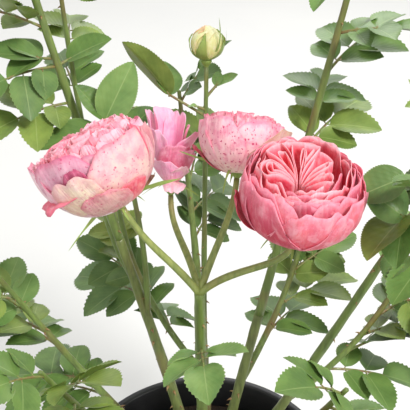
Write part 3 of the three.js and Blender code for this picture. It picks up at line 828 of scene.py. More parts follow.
def prickle(bm, line, at, turn, radius, size, material):
    """A hooked prickle that stands on a cane."""
    way = tangent(line, at)
    side = unit(np.cross(way, (0.3, 0.5, 0.1)))
    out = turned(side, way, turn)
    foot = line(at) + out * (radius - 0.4)
    middle = foot + out * size * 0.55 - way * size * 0.1
    tip = foot + out * size * 0.95 - way * size * 0.5
    curve = bend(foot, middle, tip)
    tube(bm, curve, lambda t: (1 - t) * 0.3 * size + 0.05, 6, 3, material)


def cane_radius(cane, t):
    """The radius of a cane at a fraction of it."""
    return cane["foot"] + (cane["tip"] - cane["foot"]) * t


def bark_bump(draw, radius):
    """Low ridges and warts along a cane."""
    shift = draw.between(0, 6)
    return lambda t, turn: radius * (0.035 * math.sin(3 * turn + shift + 5 * t)
                                     + 0.03 * math.sin(23 * t + 2 * turn + shift)
                                     + 0.02 * math.sin(61 * t + 5 * turn))


def build_canes():
    """The stump, the boughs and the flower stalks, with bark relief and prickles."""
    colours = bpy.context.scene.rose_colours
    size = bpy.context.scene.rose_sizes.prickle_length / MM
    bm = new_bmesh()
    draw = Draw(SEEDS["bark"])
    for name, cane in CANES.items():
        line = PLANT.lines[name]
        end = cane["bough_end"]

        def radius(t, cane=cane, end=end):
            return cane_radius(cane, t * end) * (1 + 0.25 * math.exp(-t * 30))
        tube(bm, span(line, 0, end), radius, 14, 44, 0, bark_bump(draw, cane["foot"]))
        for _ in range(int(end * PRICKLES["cane"])):
            at, turn = draw.between(0.1, end), draw.between(0, 360)
            prickle(bm, line, at, turn, cane_radius(cane, at), draw.between(0.6, 1) * size, 2)
    foot = SOIL_TOP - 2

    def knuckle(u, v):
        turn = math.pi * u
        lump = (1 + 0.12 * math.sin(3 * turn + 1) + 0.08 * math.sin(5 * turn)
                + 0.06 * math.sin(9 * v + 2 * turn))
        out = STUMP["radius"] * 1.25 * lump * math.sqrt(max(0, 1 - v ** 2.4)) * (1 - 0.12 * v)
        return (out * math.cos(turn), out * math.sin(turn), foot + (STUMP["height"] + 4) * v)
    sheet(bm, 28, 14, knuckle, 1)
    for name in STALKED:
        line = PLANT.lines[name]

        def stalk(t):
            return PEDICEL["root"] * 1.15 + (PEDICEL["tip"] - PEDICEL["root"] * 1.15) * t
        tube(bm, line, stalk, 12, 26, 3, bark_bump(draw, 1.2))
        for _ in range(PRICKLES["stalk"]):
            at, turn = draw.between(0.12, 0.97), draw.between(0, 360)
            prickle(bm, line, at, turn, 2.2, draw.between(0.14, 0.24) * size, 3)
    materials = (
        bark_material("young_bark", colours.bark, blend(colours.bark, srgb(60, 70, 34), 0.6)),
        bark_material("old_bark", srgb(120, 98, 72), srgb(66, 52, 38)),
        bark_material("prickles", srgb(158, 132, 84), srgb(136, 92, 60)),
        bark_material("flower_stalk", srgb(148, 158, 86), srgb(116, 132, 66)),
    )
    nodes = ["stump"] + ["bough_" + name for name in CANES]
    nodes += [name.replace("bloom", "flower_stalk") for name in STALKED]
    finished(bm, "canes_with_bark", materials, nodes)


def build_foliage():
    """The twigs and the leaves of every mass, each kind joined."""
    colours = bpy.context.scene.rose_colours
    leaf, bark = colours.leaf, colours.bark
    leaves, twigs = new_bmesh(), new_bmesh()
    draw = Draw(SEEDS["leaves"])
    for name, limb in (*CANES.items(), *SHOOTS.items()):
        line = PLANT.lines[name]
        begin = limb.get("bough_end", 0)
        end = limb.get("tip") if "bough_end" in limb else limb["end"]
        first = cane_radius(limb, begin) if "bough_end" in limb else limb["foot"]

        def radius(t, first=first, end=end):
            return first + (end - first) * t
        tube(twigs, span(line, begin, 1), radius, 10, 48, 0, bark_bump(draw, first))
        for _ in range(PRICKLES["twig"]):
            at, turn = draw.between(0.02, 0.85), draw.between(0, 360)
            prickle(twigs, span(line, begin, 1), at, turn, radius(at), draw.between(2, 4), 2)
    blades = []
    for name, root, end, leaflets in PLANT.shown:
        tube(twigs, straight(root, end), lambda t: 1.3 - 0.3 * t, 8, 4, 1)
        for heading, rise, roll, length, width, green in leaflets:
            out = toward(heading, rise)
            place = (end - out, out, leaf_normal(out, roll), length, width)
            leaflet(leaves, *place, green, True, 0.9)
            blades.append(Blade(*place))
            tube(twigs, straight(end - out * 2, end + out * 3), lambda t: 0.7, 6, 1, 1)
    for name, stalk, roll, size, part in PLANT.leaves:
        greens = (0, 0, 1, 1, 2) if part < 0.7 else (1, 2, 3)
        leaf_on_stalk(leaves, twigs, stalk, roll, size, greens, draw, blades)

    def green(name, light, light_share, dark, dark_share, roughness=0.42):
        return green_material(name, blend(leaf, srgb(*light), light_share),
                              blend(leaf, srgb(*dark), dark_share), roughness=roughness)
    greens = (
        green("leaf_dark", (110, 138, 74), 0.9, (78, 106, 56), 0.9),
        green("leaf_middle", (118, 147, 74), 0.7, (78, 106, 50), 0.7),
        green("leaf_olive", (138, 158, 74), 0.9, (102, 122, 52), 0.8),
        green("leaf_light", (136, 165, 94), 0.8, (98, 133, 68), 0.7, roughness=0.34),
    )
    nodes = ["foliage_" + name for name in (*CANES, *SHOOTS)]
    young = blend(bark, srgb(110, 140, 60), 0.5), blend(bark, srgb(74, 96, 44), 0.7)
    barks = (
        bark_material("green_bark", *young),
        bark_material("leaf_stalk", srgb(128, 148, 78), srgb(132, 96, 66)),
        bark_material("twig_prickles", srgb(156, 136, 84), srgb(130, 96, 60)),
    )
    finished(leaves, "leaves", greens, nodes)
    finished(twigs, "twigs", barks, nodes)


# Blooms. Each petal is a sheet in the bloom's own frame, its axis on +Z and its foot at 0.

# Petal tints: the family whose set colour shifts them, the tones from root to rim, the blotches and
# their strength, the strength of rain spots, and for some the tone of the edge line, how far up the
# middle tone starts (fade) and how strong the stripes are.
TINTS = {
    "coral_guard": dict(
        family="coral", root=(238, 126, 122), middle=(224, 76, 100), rim=(236, 126, 148),
        blotch=(244, 150, 162), blotches=0.85, spots=0.35, edge=(242, 148, 166)),
    # A darker copy of the coral: painted shade on the guards of the shaded side and on the side rows inside
    # the cup
    "coral_side": dict(
        family="coral", root=(186, 46, 74), middle=(196, 54, 84), rim=(230, 124, 144),
        blotch=(186, 44, 74), blotches=0.5, spots=0.25, edge=(240, 146, 164), fade=0.7),
    # coral_inner and coral_fold keep a deep root far up the petal. This is partly the petals' own deeper
    # base and partly painted shade in the folds. Their pale rim and edge line are partly painted light on
    # the lit edges
    "coral_inner": dict(
        family="coral", root=(212, 30, 62), middle=(230, 58, 84), rim=(246, 138, 152),
        blotch=(246, 116, 130), blotches=0.6, spots=0.0, edge=(252, 184, 192), fade=0.8),
    "coral_fold": dict(
        family="coral", root=(212, 28, 56), middle=(232, 56, 80), rim=(246, 140, 150),
        blotch=(246, 112, 124), blotches=0.6, spots=0.0, edge=(252, 188, 194), fade=0.84),
    "coral_pale": dict(
        family="coral", root=(240, 110, 126), middle=(242, 138, 154), rim=(250, 184, 194),
        blotch=(228, 92, 116), blotches=0.7, spots=0.2, edge=(252, 204, 210)),
    "crimson": dict(
        family="coral", root=(150, 22, 48), middle=(190, 36, 66), rim=(214, 84, 106),
        blotch=(166, 26, 56), blotches=0.4, spots=0.0),
    "pale_cream": dict(
        family="pale", root=(244, 214, 180), middle=(237, 188, 182), rim=(238, 172, 180),
        blotch=(230, 142, 156), blotches=0.75, spots=1.0, edge=(222, 110, 130)),
    "pale_white": dict(
        family="pale", root=(246, 226, 222), middle=(243, 210, 220), rim=(240, 186, 200),
        blotch=(233, 148, 170), blotches=0.5, spots=1.0, edge=(206, 66, 112)),
    # Lilac greyed and darkened to its tone in shade: painted shade over the petals' own lilac
    "pale_lilac": dict(
        family="pale", root=(222, 178, 186), middle=(212, 152, 172), rim=(230, 166, 184),
        blotch=(200, 116, 146), blotches=0.45, spots=1.0, edge=(204, 60, 110)),
    "pale_straw": dict(
        family="pale", root=(240, 232, 186), middle=(238, 214, 180), rim=(234, 186, 180),
        blotch=(208, 112, 136), blotches=0.45, spots=0.6),
    "pale_salmon": dict(
        family="pale", root=(248, 180, 160), middle=(238, 96, 112), rim=(242, 132, 140),
        blotch=(226, 70, 96), blotches=0.9, spots=0.4),
    "pale_dusk": dict(
        family="pale", root=(226, 188, 168), middle=(218, 164, 158), rim=(220, 138, 146),
        blotch=(200, 108, 122), blotches=0.6, spots=0.9),
    "deep_pink": dict(
        family="pale", root=(212, 60, 92), middle=(214, 62, 92), rim=(232, 112, 134),
        blotch=(240, 140, 152), blotches=0.4, spots=0.2),
    # A dark magenta petal set in the shadowed gap behind the torn straw petal: painted shade
    "tear": dict(
        family="pale", root=(120, 26, 62), middle=(150, 36, 78), rim=(196, 84, 120),
        blotch=(110, 20, 54), blotches=0.4, spots=0.0),
    "withered": dict(
        family="pale", root=(196, 168, 110), middle=(168, 116, 72), rim=(110, 62, 40),
        blotch=(96, 52, 36), blotches=0.6, spots=0.0, edge=(90, 48, 34)),
    "face_fold": dict(
        family="pale", root=(222, 50, 84), middle=(240, 84, 112), rim=(252, 170, 182),
        blotch=(250, 170, 180), blotches=0.35, spots=0.0, edge=(246, 140, 160), fade=0.76, stripes=0.7),
    "face_light": dict(
        family="pale", root=(232, 76, 104), middle=(246, 138, 156), rim=(252, 196, 204),
        blotch=(244, 128, 148), blotches=0.4, spots=0.2, edge=(250, 178, 192), fade=0.68, stripes=0.85),
    "speckled": dict(
        family="pale", root=(252, 220, 202), middle=(246, 186, 194), rim=(246, 178, 192),
        blotch=(232, 122, 150), blotches=0.7, spots=1.3, edge=(228, 122, 150)),
    # A greyer, darker pink with a tan edge: painted shade on a petal that lies in shade
    "dusky": dict(
        family="pale", root=(228, 160, 172), middle=(216, 140, 156), rim=(214, 178, 150),
        blotch=(190, 120, 138), blotches=0.6, spots=0.5, edge=(176, 140, 110)),
    "crest": dict(
        family="pale", root=(226, 92, 118), middle=(244, 156, 172), rim=(252, 206, 208),
        blotch=(228, 96, 128), blotches=0.55, spots=0.9, edge=(214, 60, 104), fade=0.7, stripes=0.4),
    "lilac": dict(
        family="lilac", root=(250, 204, 192), middle=(243, 158, 192), rim=(250, 188, 212),
        blotch=(236, 130, 172), blotches=0.5, spots=0.1),
    "lilac_deep": dict(
        family="lilac", root=(240, 156, 152), middle=(220, 108, 138), rim=(244, 160, 186),
        blotch=(204, 80, 116), blotches=0.5, spots=0.15),
    "lilac_pale": dict(
        family="lilac", root=(250, 214, 192), middle=(246, 182, 196), rim=(250, 200, 210),
        blotch=(238, 148, 174), blotches=0.45, spots=0.1),
    "bud_cream": dict(
        family="cream", root=(206, 214, 122), middle=(234, 226, 154), rim=(246, 240, 198),
        blotch=(218, 220, 122), blotches=0.5, spots=0.0, edge=(236, 214, 150)),
    "bud_blush": dict(
        family="cream", root=(222, 222, 138), middle=(240, 214, 150), rim=(242, 178, 134),
        blotch=(242, 204, 138), blotches=0.5, spots=0.0, edge=(236, 182, 136)),
}


def petal_tone(tint, part):
    """One tone of a tint, shifted with the colour that is set for its family."""
    chosen = getattr(bpy.context.scene.rose_colours, tint["family"])
    usual = PETAL_COLOURS[tint["family"]]
    return tuple(tone * now / before for tone, now, before in zip(srgb(*tint[part]), chosen, usual))


def rain_marks(shader, place):
    """Where rain has marked a petal: ragged spots, fewer in some patches, and finer flecks."""
    cells = shader.tree.nodes.new("ShaderNodeTexVoronoi")
    cells.inputs["Scale"].default_value = 230
    shader.link(place, cells.inputs["Vector"])
    chosen = shader.mask(shader.noise(cells.outputs["Position"], 400, 0), 0.5, 0.54)
    ragged = shader.value("MULTIPLY_ADD", shader.noise(place, 900, 2), 0.3, cells.outputs["Distance"])
    spots = shader.mask(ragged, 0.38, 0.26)
    patch = shader.mask(shader.noise(place, 60, 1), 0.36, 0.48)
    fine = shader.mask(shader.noise(place, 520, 1.5), 0.64, 0.7)
    return shader.times(shader.value("MAXIMUM", shader.times(spots, chosen), fine), patch)


def petal_material(name):
    """Petal: a root to rim fade, an edge line, fine veins, soft blotches, rain spots and a faint glow in
    its own colour, painted light on the shade in its folds.
    """
    if name in bpy.data.materials:
        return bpy.data.materials[name]
    tint = TINTS[name]
    root, middle, rim, blotch = (petal_tone(tint, part) for part in ("root", "middle", "rim", "blotch"))
    speckle = tuple(bpy.context.scene.rose_colours.speckle)
    edge_tone = petal_tone(tint, "edge") if "edge" in tint else blend(rim, speckle, 0.2)
    deep_tone, vein_tone = blend(middle, root, 0.35), blend(middle, speckle, 0.25)
    light_tone, wash_tone = blend(rim, (1.0, 0.9, 0.88), 0.4), blend(rim, (1.0, 0.92, 0.9), 0.25)
    stripe_tone = srgb(226, 58, 98)
    fade, blotches, mottling = tint.get("fade", 0.6), tint["blotches"], 0.8 * tint["blotches"]
    striping = tint.get("stripes", 0)
    # The faint emission in the petal's own colour is painted light that lifts the shade in the folds
    shader = Shader(name, {"Roughness": 0.5, "Subsurface Weight": 0.2, "Subsurface Scale": 0.004,
                           "Subsurface Radius": (1.0, 0.5, 0.45), "Sheen Weight": 0.08,
                           "Sheen Roughness": 0.4, "Emission Strength": 0.05})
    place = shader.mapped("Object", (1, 1, 1))
    along = shader.part("UV", "Y")
    base = shader.ramp(along, ((0.0, root), (0.5 * fade, blend(root, middle, 0.7)), (fade, middle),
                               (0.4 * fade + 0.6, blend(middle, rim, 0.5)), (1.0, rim)))
    cloud = shader.noise(place, 52, 3.5)
    base = shader.mix(shader.times(shader.mask(cloud, 0.47, 0.66), blotches), base, blotch)
    mottle = shader.noise(place, 150, 4, 0.6)
    base = shader.mix(shader.times(shader.mask(mottle, 0.5, 0.6), mottling), base, blotch)
    base = shader.mix(shader.times(shader.mask(mottle, 0.49, 0.38), mottling), base, deep_tone)
    veins = shader.noise(shader.mapped("UV", (11, 1.3, 1)), 2.6, 8, 0.68)
    base = shader.mix(shader.times(shader.mask(veins, 0.5, 0.72), 0.28), base, vein_tone)
    base = shader.mix(shader.times(shader.mask(veins, 0.46, 0.32), 0.26), base, light_tone)
    wash = shader.noise(shader.mapped("UV", (2.6, 1.7, 1)), 2.2, 4, 0.6)
    base = shader.mix(shader.times(shader.mask(wash, 0.5, 0.66), 0.5), base, wash_tone)
    if striping:
        streaks = shader.noise(shader.mapped("UV", (5, 0.5, 1)), 2.4, 3, 0.5)
        base = shader.mix(shader.times(shader.mask(streaks, 0.52, 0.58), striping), base, stripe_tone)
    across = shader.value("ABSOLUTE", shader.value("MULTIPLY_ADD", shader.part("UV", "X"), 2.0, -1.0))
    edge = shader.mask(shader.value("MAXIMUM", across, along), 0.93, 0.99)
    base = shader.mix(shader.times(edge, 0.6), base, edge_tone)
    if tint["spots"]:
        base = shader.mix(shader.times(rain_marks(shader, place), tint["spots"] * 0.8), base, speckle)
    creases = shader.noise(shader.mapped("UV", (7, 1.6, 1)), 1.6, 3)
    shader.relief(shader.value("MULTIPLY_ADD", creases, 3.2, veins), 0.42, 0.0012)
    # Painted light: the petal glows faintly in its own colour
    shader.link(base, shader.bsdf.inputs["Emission Color"])
    return shader.colour(base)


def swept(start, lean, length, steps):
    """A profile of radius and height from a start. lean(part) is its angle from upright, in radians."""
    profile = [start]
    for i in range(steps):
        r, z = profile[-1]
        angle = lean((i + 0.5) / steps)
        profile.append((r + math.sin(angle) * length / steps, z + math.cos(angle) * length / steps))
    return profile


class Cup:
    """A petal that rises from the receptacle to a rim at a radius and height, leaning there.

    curl leans the rim further, ruffle and waves make its edge wavy, notch dents its middle and
    rounding its corners, tuck sets one side in and the other out, skew turns it as it rises, cut ends
    it at a part of its height, swell and flare push it outwards, and point narrows its tip.
    """

    def __init__(self, radius, height, lean, width, azimuth, root=(4.0, 9.0), curl=10.0, ruffle=0.8,
                 waves=2.5, notch=0.03, tuck=1.2, rounding=0.42, skew=0.0, phase=0.0, foot_width=0.22,
                 cut=1.0, swell=0.0, flare=0.0, point=0.0):
        out, up = radius - root[0], height - root[1]
        last = math.radians(lean)
        first = 2 * math.atan2(out, up) - last
        half = 0.5 * abs(first - last)
        length = math.hypot(out, up) * (half / math.sin(half) if half > 0.01 else 1)
        self.width, self.ruffle, self.waves, self.notch = width, ruffle, waves, notch
        self.tuck, self.rounding = tuck, min(0.42, rounding * width / length)
        self.skew, self.phase = math.radians(skew), phase
        self.cut, self.swell, self.flare, self.point = cut, swell, flare, point
        self.azimuth, self.foot_width = math.radians(azimuth), foot_width

        def lean_at(part):
            rim_curl = math.radians(curl) * max(0, (part - 0.75) / 0.25) ** 1.5
            return first + (last - first) * part + rim_curl
        self.profile = swept(root, lean_at, length, PETAL_STEPS)

    def place(self, u, v):
        """The point at u across and v along."""
        dent = self.notch * math.exp(-(u / 0.16) ** 2) * v ** 5
        part = v * (1 - self.rounding * abs(u) ** 2.9 * v - dent)
        spot = min(part, 1) * self.cut * (len(self.profile) - 1)
        index = min(int(spot), len(self.profile) - 2)
        (r0, z0), (r1, z1) = self.profile[index], self.profile[index + 1]
        r, z = r0 + (r1 - r0) * (spot - index), z0 + (z1 - z0) * (spot - index)
        r += self.swell * min(1, 3 * v) + self.flare * max(0, (v - 0.6) / 0.4) ** 2
        opening = math.sin(0.5 * math.pi * min(1, v / 0.72)) ** 1.2
        fullness = self.foot_width + (1 - self.foot_width) * opening
        fullness *= max(0.02, 1 - v) ** self.point if self.point else 1
        turn = max(-2.4, min(2.4, 0.5 * u * self.width * fullness / max(r, 3)))
        wave = self.ruffle * v ** 3 * math.sin(self.waves * math.pi * u + self.phase)
        r += self.tuck * u * (0.3 + 0.7 * v) + wave
        z += 0.6 * self.ruffle * v ** 3 * math.sin(1.7 * self.waves * math.pi * u + self.phase + 1)
        angle = self.azimuth + turn + self.skew * v
        return (r * math.cos(angle), r * math.sin(angle), z)


# FOLD is the share of a folded petal's half width that goes round the fold. FULL_WIDTH is the width
# of a full bloom, for which the receptacle is drawn, and BACK_WIDTH the one for which the rows of the
# blooms on the far side are drawn.
FOLD = 0.36
FULL_WIDTH = 84
BACK_WIDTH = 74


def fan(bm, face, draw, materials, azimuth, half_angle, layers, outer=None, top=None):
    """A quarter of a full bloom: nested folded petals whose edges run out from the middle and back."""
    turn = math.radians(azimuth)
    outer, top = outer or face["outer"], top or face["top"]
    middle_x, middle_y = face.get("middle", (0, 0))
    for layer in range(layers):
        part = (layer + 0.6) / layers
        width = math.radians(half_angle) * part * draw.between(0.85, 1.08)
        reach = face["inner"] + (outer - face["inner"]) * (0.6 + 0.4 * part) * draw.between(0.94, 1.03)
        crest = top + draw.between(-1.2, 1.8)
        page = math.radians(face["page"]) * draw.between(0.4, 1.5)
        phase = draw.between(0, 6)
        start = face["inner"] * draw.between(0.6, 1.5)

        def place(u, v, width=width, reach=reach, crest=crest, page=page, phase=phase, start=start):
            side, hand = abs(u), (1 if u > 0 else -1)
            along = min(1, (1 - side) / (1 - FOLD))
            quarter = 0.5 * math.pi * min(1, side / FOLD)
            round_part = math.sin(quarter)
            cap = 0.3 * reach * width * math.cos(quarter)
            r = start + (reach - start) * along + cap
            angle = width * hand * round_part * (0.5 + 0.5 * along) + page * v * v
            ripple = v ** 3 * math.sin(9 * u + phase)
            r += 0.5 * ripple
            angle += 0.9 * v ** 3 * math.sin(7 * u + 1.7 * phase) / max(r, 6)
            spread = 0.3 + 0.7 * v ** 0.7
            dome = face["dip"] * (1 - r / outer) ** 2 + face["fall"] * (r / outer) ** 3
            z = face["base"] + (crest - dome - face["base"]) * v * (1 - 0.05 * side ** 4) + 0.4 * ripple
            return (middle_x + r * spread * math.cos(turn + angle),
                    middle_y + r * spread * math.sin(turn + angle), z)
        petal_sheet(bm, *FOLD_GRID, place, materials[layer % len(materials)])


def sepal_blade(bm, azimuth, lean, droop, length, width, twist, material):
    """A narrow pointed sepal that leaves the receptacle at a lean, bends to its droop and twists."""
    azimuth, lean, droop = math.radians(azimuth), math.radians(lean), math.radians(droop)

    def lean_at(part):
        return lean + (droop - lean) * math.sin(0.5 * math.pi * part)
    profile = swept((5.0, 8.0), lean_at, length, SEPAL_STEPS)

    def blade(u, v):
        r, z = profile[min(int(round(v * SEPAL_STEPS)), SEPAL_STEPS)]
        side = 0.5 * width * u * (1 - v) ** 0.7 * (0.8 + 0.2 * math.sin(11 * v + azimuth))
        turn = math.radians(twist) * min(1, 3 * v)
        z += side * math.sin(turn) + 0.12 * side * side
        side *= math.cos(turn)
        return (r * math.cos(azimuth) - side * math.sin(azimuth),
                r * math.sin(azimuth) + side * math.cos(azimuth), z)
    sheet(bm, 4, SEPAL_STEPS, blade, material)


def receptacle(bm, material, size):
    """The rounded green receptacle under the petals."""
    def hip(u, v):
        r = size * (2.1 + 4.0 * math.sin(math.pi * min(1, 0.95 * v) ** 1.25)) * (1 if v < 0.99 else 0)
        return (r * math.cos(math.pi * u), r * math.sin(math.pi * u), (0.3 + 10.4 * v) * size)
    sheet(bm, 20, 16, hip, material)


def bloom_place(bloom):
    """The matrix that sets a bloom on its stalk, in metres."""
    axis = Vector(bloom["axis"]).normalized()
    turn = Vector((0, 0, 1)).rotation_difference(axis).to_matrix().to_4x4()
    return Matrix.Translation(Vector(bloom["foot"]) * MM) @ turn


def make_bloom(name, tints, rows=(), petals=(), face=None, fans=(), sepals=()):
    """A bloom: rows of cupped petals, petals set one by one, fans of folded ones, and its sepals."""
    bloom = PLANT.blooms[name]
    bm = new_bmesh()
    draw = Draw(sum((i + 3) * ord(letter) for i, letter in enumerate(name)))
    order = {tint: i for i, tint in enumerate(tints)}
    for number, row in enumerate(rows):
        for i in range(row["count"]):
            radius = row["radius"] * draw.between(0.97, 1.02)
            height = row["height"] * draw.between(0.96, 1.02)
            lean, width = row["lean"] + draw.between(-5, 5), row["width"] * draw.between(0.9, 1.1)
            azimuth = (row.get("azimuth", 0) + bloom["spin"] + number * 41
                       + row.get("sweep", 360) / row["count"] * i + draw.between(-8, 8))
            height += row.get("tilt", 0) * math.sin(math.radians(azimuth))
            petal = Cup(
                radius, height, lean, width, azimuth,
                curl=row.get("curl", 10) * draw.between(0.3, 1.6), ruffle=row.get("ruffle", 0.8),
                waves=draw.between(1.6, 3.2), notch=draw.between(0, 0.07), tuck=row.get("tuck", 1.4),
                phase=draw.between(0, 6), skew=draw.between(-8, 8), root=row.get("root", (4.0, 9.0)))
            petal_sheet(bm, *ROW_GRID, petal.place, order[row["tint"]])
    for petal in petals:
        shape = {key: value for key, value in petal.items() if key != "tint"}
        petal_sheet(bm, *SINGLE_GRID, Cup(**shape).place, order[petal["tint"]])
    for quarter in fans:
        fan(bm, face, draw, [order[tint] for tint in face["tints"]], *quarter)
    green = len(tints)
    receptacle(bm, green, 0.4 * bloom["width"] / FULL_WIDTH + 0.6)
    for sepal in sepals:
        sepal_blade(bm, *sepal, green)
    bmesh.ops.transform(bm, matrix=bloom_place(bloom), verts=bm.verts)
    materials = [petal_material(tint) if tint in TINTS else sepal_material() for tint in (*tints, "sepal")]
    finished(bm, name + "_petals", materials, [name])


def sepal_material():
    """The green of sepals and receptacles."""
    return green_material("sepal", srgb(164, 184, 96), srgb(122, 148, 68), 0.5)


def guard(azimuth, tint, wall, cut, width, swell, **more):
    """A guard petal that hugs the wall of its cup, cut at a part of its height."""
    return dict(azimuth=azimuth, tint=tint, cut=cut, width=width, swell=swell, **{**wall, **more})


def build_bloom_right():
    """The full bloom at the right, open to the camera."""
    rows = (
        dict(count=6, radius=34, height=56, lean=-30, width=50, curl=10, ruffle=1.0, tint="coral_guard"),
        dict(count=6, radius=33, height=58, lean=-30, width=48, curl=10, ruffle=1.0, tint="coral_side"),
        dict(count=6, radius=31.5, height=59, lean=-28, width=52, curl=10, ruffle=0.9, tilt=3,
             tint="coral_side"),
        dict(count=6, radius=29.5, height=59.5, lean=-24, width=46, curl=10, ruffle=1.0, tilt=3.5,
             tint="coral_inner"),
        dict(count=7, radius=27, height=59.5, lean=-20, width=38, curl=10, ruffle=1.0, tilt=3.5,
             tint="coral_inner"),
    )
    wall = dict(radius=34.5, height=55, lean=-34, curl=12, ruffle=0.9)
    petals = (
        guard(180, "crimson", wall, 0.74, 22, 4.2, ruffle=0.6, skew=4),
        guard(-52, "coral_guard", wall, 0.95, 60, 2.6, skew=16, flare=0.2, ruffle=1.2, waves=3.4,
              tuck=-0.6),
        # This left guard lies in shade and takes the darker coral copy: painted shade
        guard(-130, "coral_side", wall, 0.99, 60, 1.6, skew=-16, flare=0.4, ruffle=1.4, waves=3.0),
        guard(-92, "coral_guard", wall, 0.93, 62, 2.2, skew=12, ruffle=1.7, waves=3.6, notch=0.05),
        guard(172, "coral_side", wall, 1.0, 56, 0.8),
        guard(8, "coral_guard", wall, 0.97, 54, 1.4, flare=0.8),
        guard(96, "coral_guard", wall, 1.0, 62, 1.0, flare=0.6),
        dict(azimuth=66, radius=31.5, height=61.5, lean=-22, width=44, curl=16, ruffle=1.5,
             tint="coral_inner"),
        *(dict(azimuth=azimuth, radius=radius, height=height, lean=-26, width=width, curl=18, ruffle=0.8,
               waves=1.7, phase=0.1 * azimuth, tint=tint)
          for azimuth, radius, height, width, tint in (
              (-148, 21, 56, 30, "coral_inner"), (-106, 22, 54, 32, "coral_side"),
              (-62, 22, 55, 34, "coral_pale"), (-22, 21, 57, 30, "coral_side"),
              (-90, 17, 53, 25, "coral_inner"), (-44, 17, 55, 26, "coral_pale"))),
    )
    face = dict(inner=3, outer=24, top=63, dip=13, fall=1, base=22, page=18, middle=(-4, -10),
                tints=("coral_fold", "coral_inner"))
    fans = ((102, 24, 2, 32), (62, 22, 3, 34, 64), (24, 22, 2, 29, 62), (-12, 20, 2, 21, 60),
            (154, 34, 4, 23, 63))
    sepals = ((-20, 70, 150, 24, 5, 0), (60, 70, 160, 24, 5, 0), (130, 60, 170, 22, 5, 0),
              (-100, 75, 140, 24, 5, 0), (-160, 70, 150, 26, 5, 0))
    tints = ("coral_guard", "coral_side", "coral_inner", "coral_fold", "coral_pale", "crimson")
    make_bloom("bloom_right", tints, rows, petals, face, fans, sepals)


def build_bloom_left():
    """The pale bloom at the left, seen from its side, its face a crescent of striped folds."""
    low = (8.0, 3.0)
    rows = (
        # The outer row and the left guard take the lilac with painted shade
        dict(count=4, radius=38, height=50, lean=-14, width=60, curl=14, ruffle=1.2, azimuth=10, sweep=180,
             root=low, tint="pale_lilac"),
        dict(count=6, radius=36, height=51, lean=-22, width=54, curl=12, ruffle=1.0, root=low,
             tint="pale_white"),
        dict(count=7, radius=34, height=54, lean=-24, width=44, curl=14, ruffle=1.1, tint="face_light"),
        dict(count=10, radius=32, height=56, lean=-24, width=30, curl=14, ruffle=1.0, tint="face_light"),
        dict(count=12, radius=29.5, height=57, lean=-24, width=24, curl=14, ruffle=1.0, tint="face_fold"),
        dict(count=12, radius=27, height=58, lean=-22, width=20, curl=14, ruffle=1.0, tint="face_light"),
    )
    wall = dict(radius=37.5, height=56, lean=-20, curl=8, ruffle=0.8, root=low)
    petals = (
        guard(-112, "pale_lilac", wall, 1.03, 62, 0.6, ruffle=1.1, tuck=-0.8),
        guard(-68, "pale_cream", wall, 0.92, 84, 1.6, ruffle=1.2, skew=26, foot_width=0.7),
        guard(-22, "deep_pink", wall, 0.95, 12, 1.0, point=0.3),
        guard(-6, "pale_white", wall, 0.93, 44, 0.8, ruffle=0.9),
        guard(-164, "pale_white", wall, 1.03, 56, 1.2),
        guard(-2, "pale_dusk", wall, 0.86, 30, 2.2),
        # A dark petal in the gap under the torn straw petal: painted shade
        guard(-97, "tear", wall, 0.86, 17, 2.1, ruffle=0.5, notch=-0.02, tuck=0),
        guard(-105, "pale_straw", wall, 0.81, 36, 2.9, notch=0.07, flare=0.9, rounding=0.3, tuck=0.3),
        guard(-52, "pale_salmon", wall, 0.47, 25, 2.9, ruffle=0.5),
        guard(-88, "pale_dusk", wall, 0.54, 38, 3.8, flare=0.6, notch=-0.06),
        guard(-6, "withered", wall, 0.3, 6, 4.0, ruffle=1.6),
        dict(azimuth=-146, radius=47, height=34, lean=60, width=60, curl=110, ruffle=1.8, rounding=0.2,
             root=low, tint="deep_pink"),
    )
    face = dict(inner=3, outer=25, top=61, dip=3, fall=4, base=26, page=8,
                tints=("face_fold", "face_light"))
    fans = ((-80, 38, 7), (-10, 34, 6), (60, 34, 5), (130, 34, 5), (205, 36, 7))
    sepals = ((-14, 90, 98, 46, 6.5, 90), (-150, 95, 112, 44, 5, 60), (80, 80, 130, 24, 5, 0),
              (150, 80, 120, 24, 5, 0), (-75, 110, 170, 18, 4.5, 0))
    tints = ("pale_cream", "pale_white", "pale_lilac", "pale_straw", "pale_salmon", "pale_dusk",
             "deep_pink", "tear", "withered", "face_fold", "face_light")
    make_bloom("bloom_left", tints, rows, petals, face, fans, sepals)


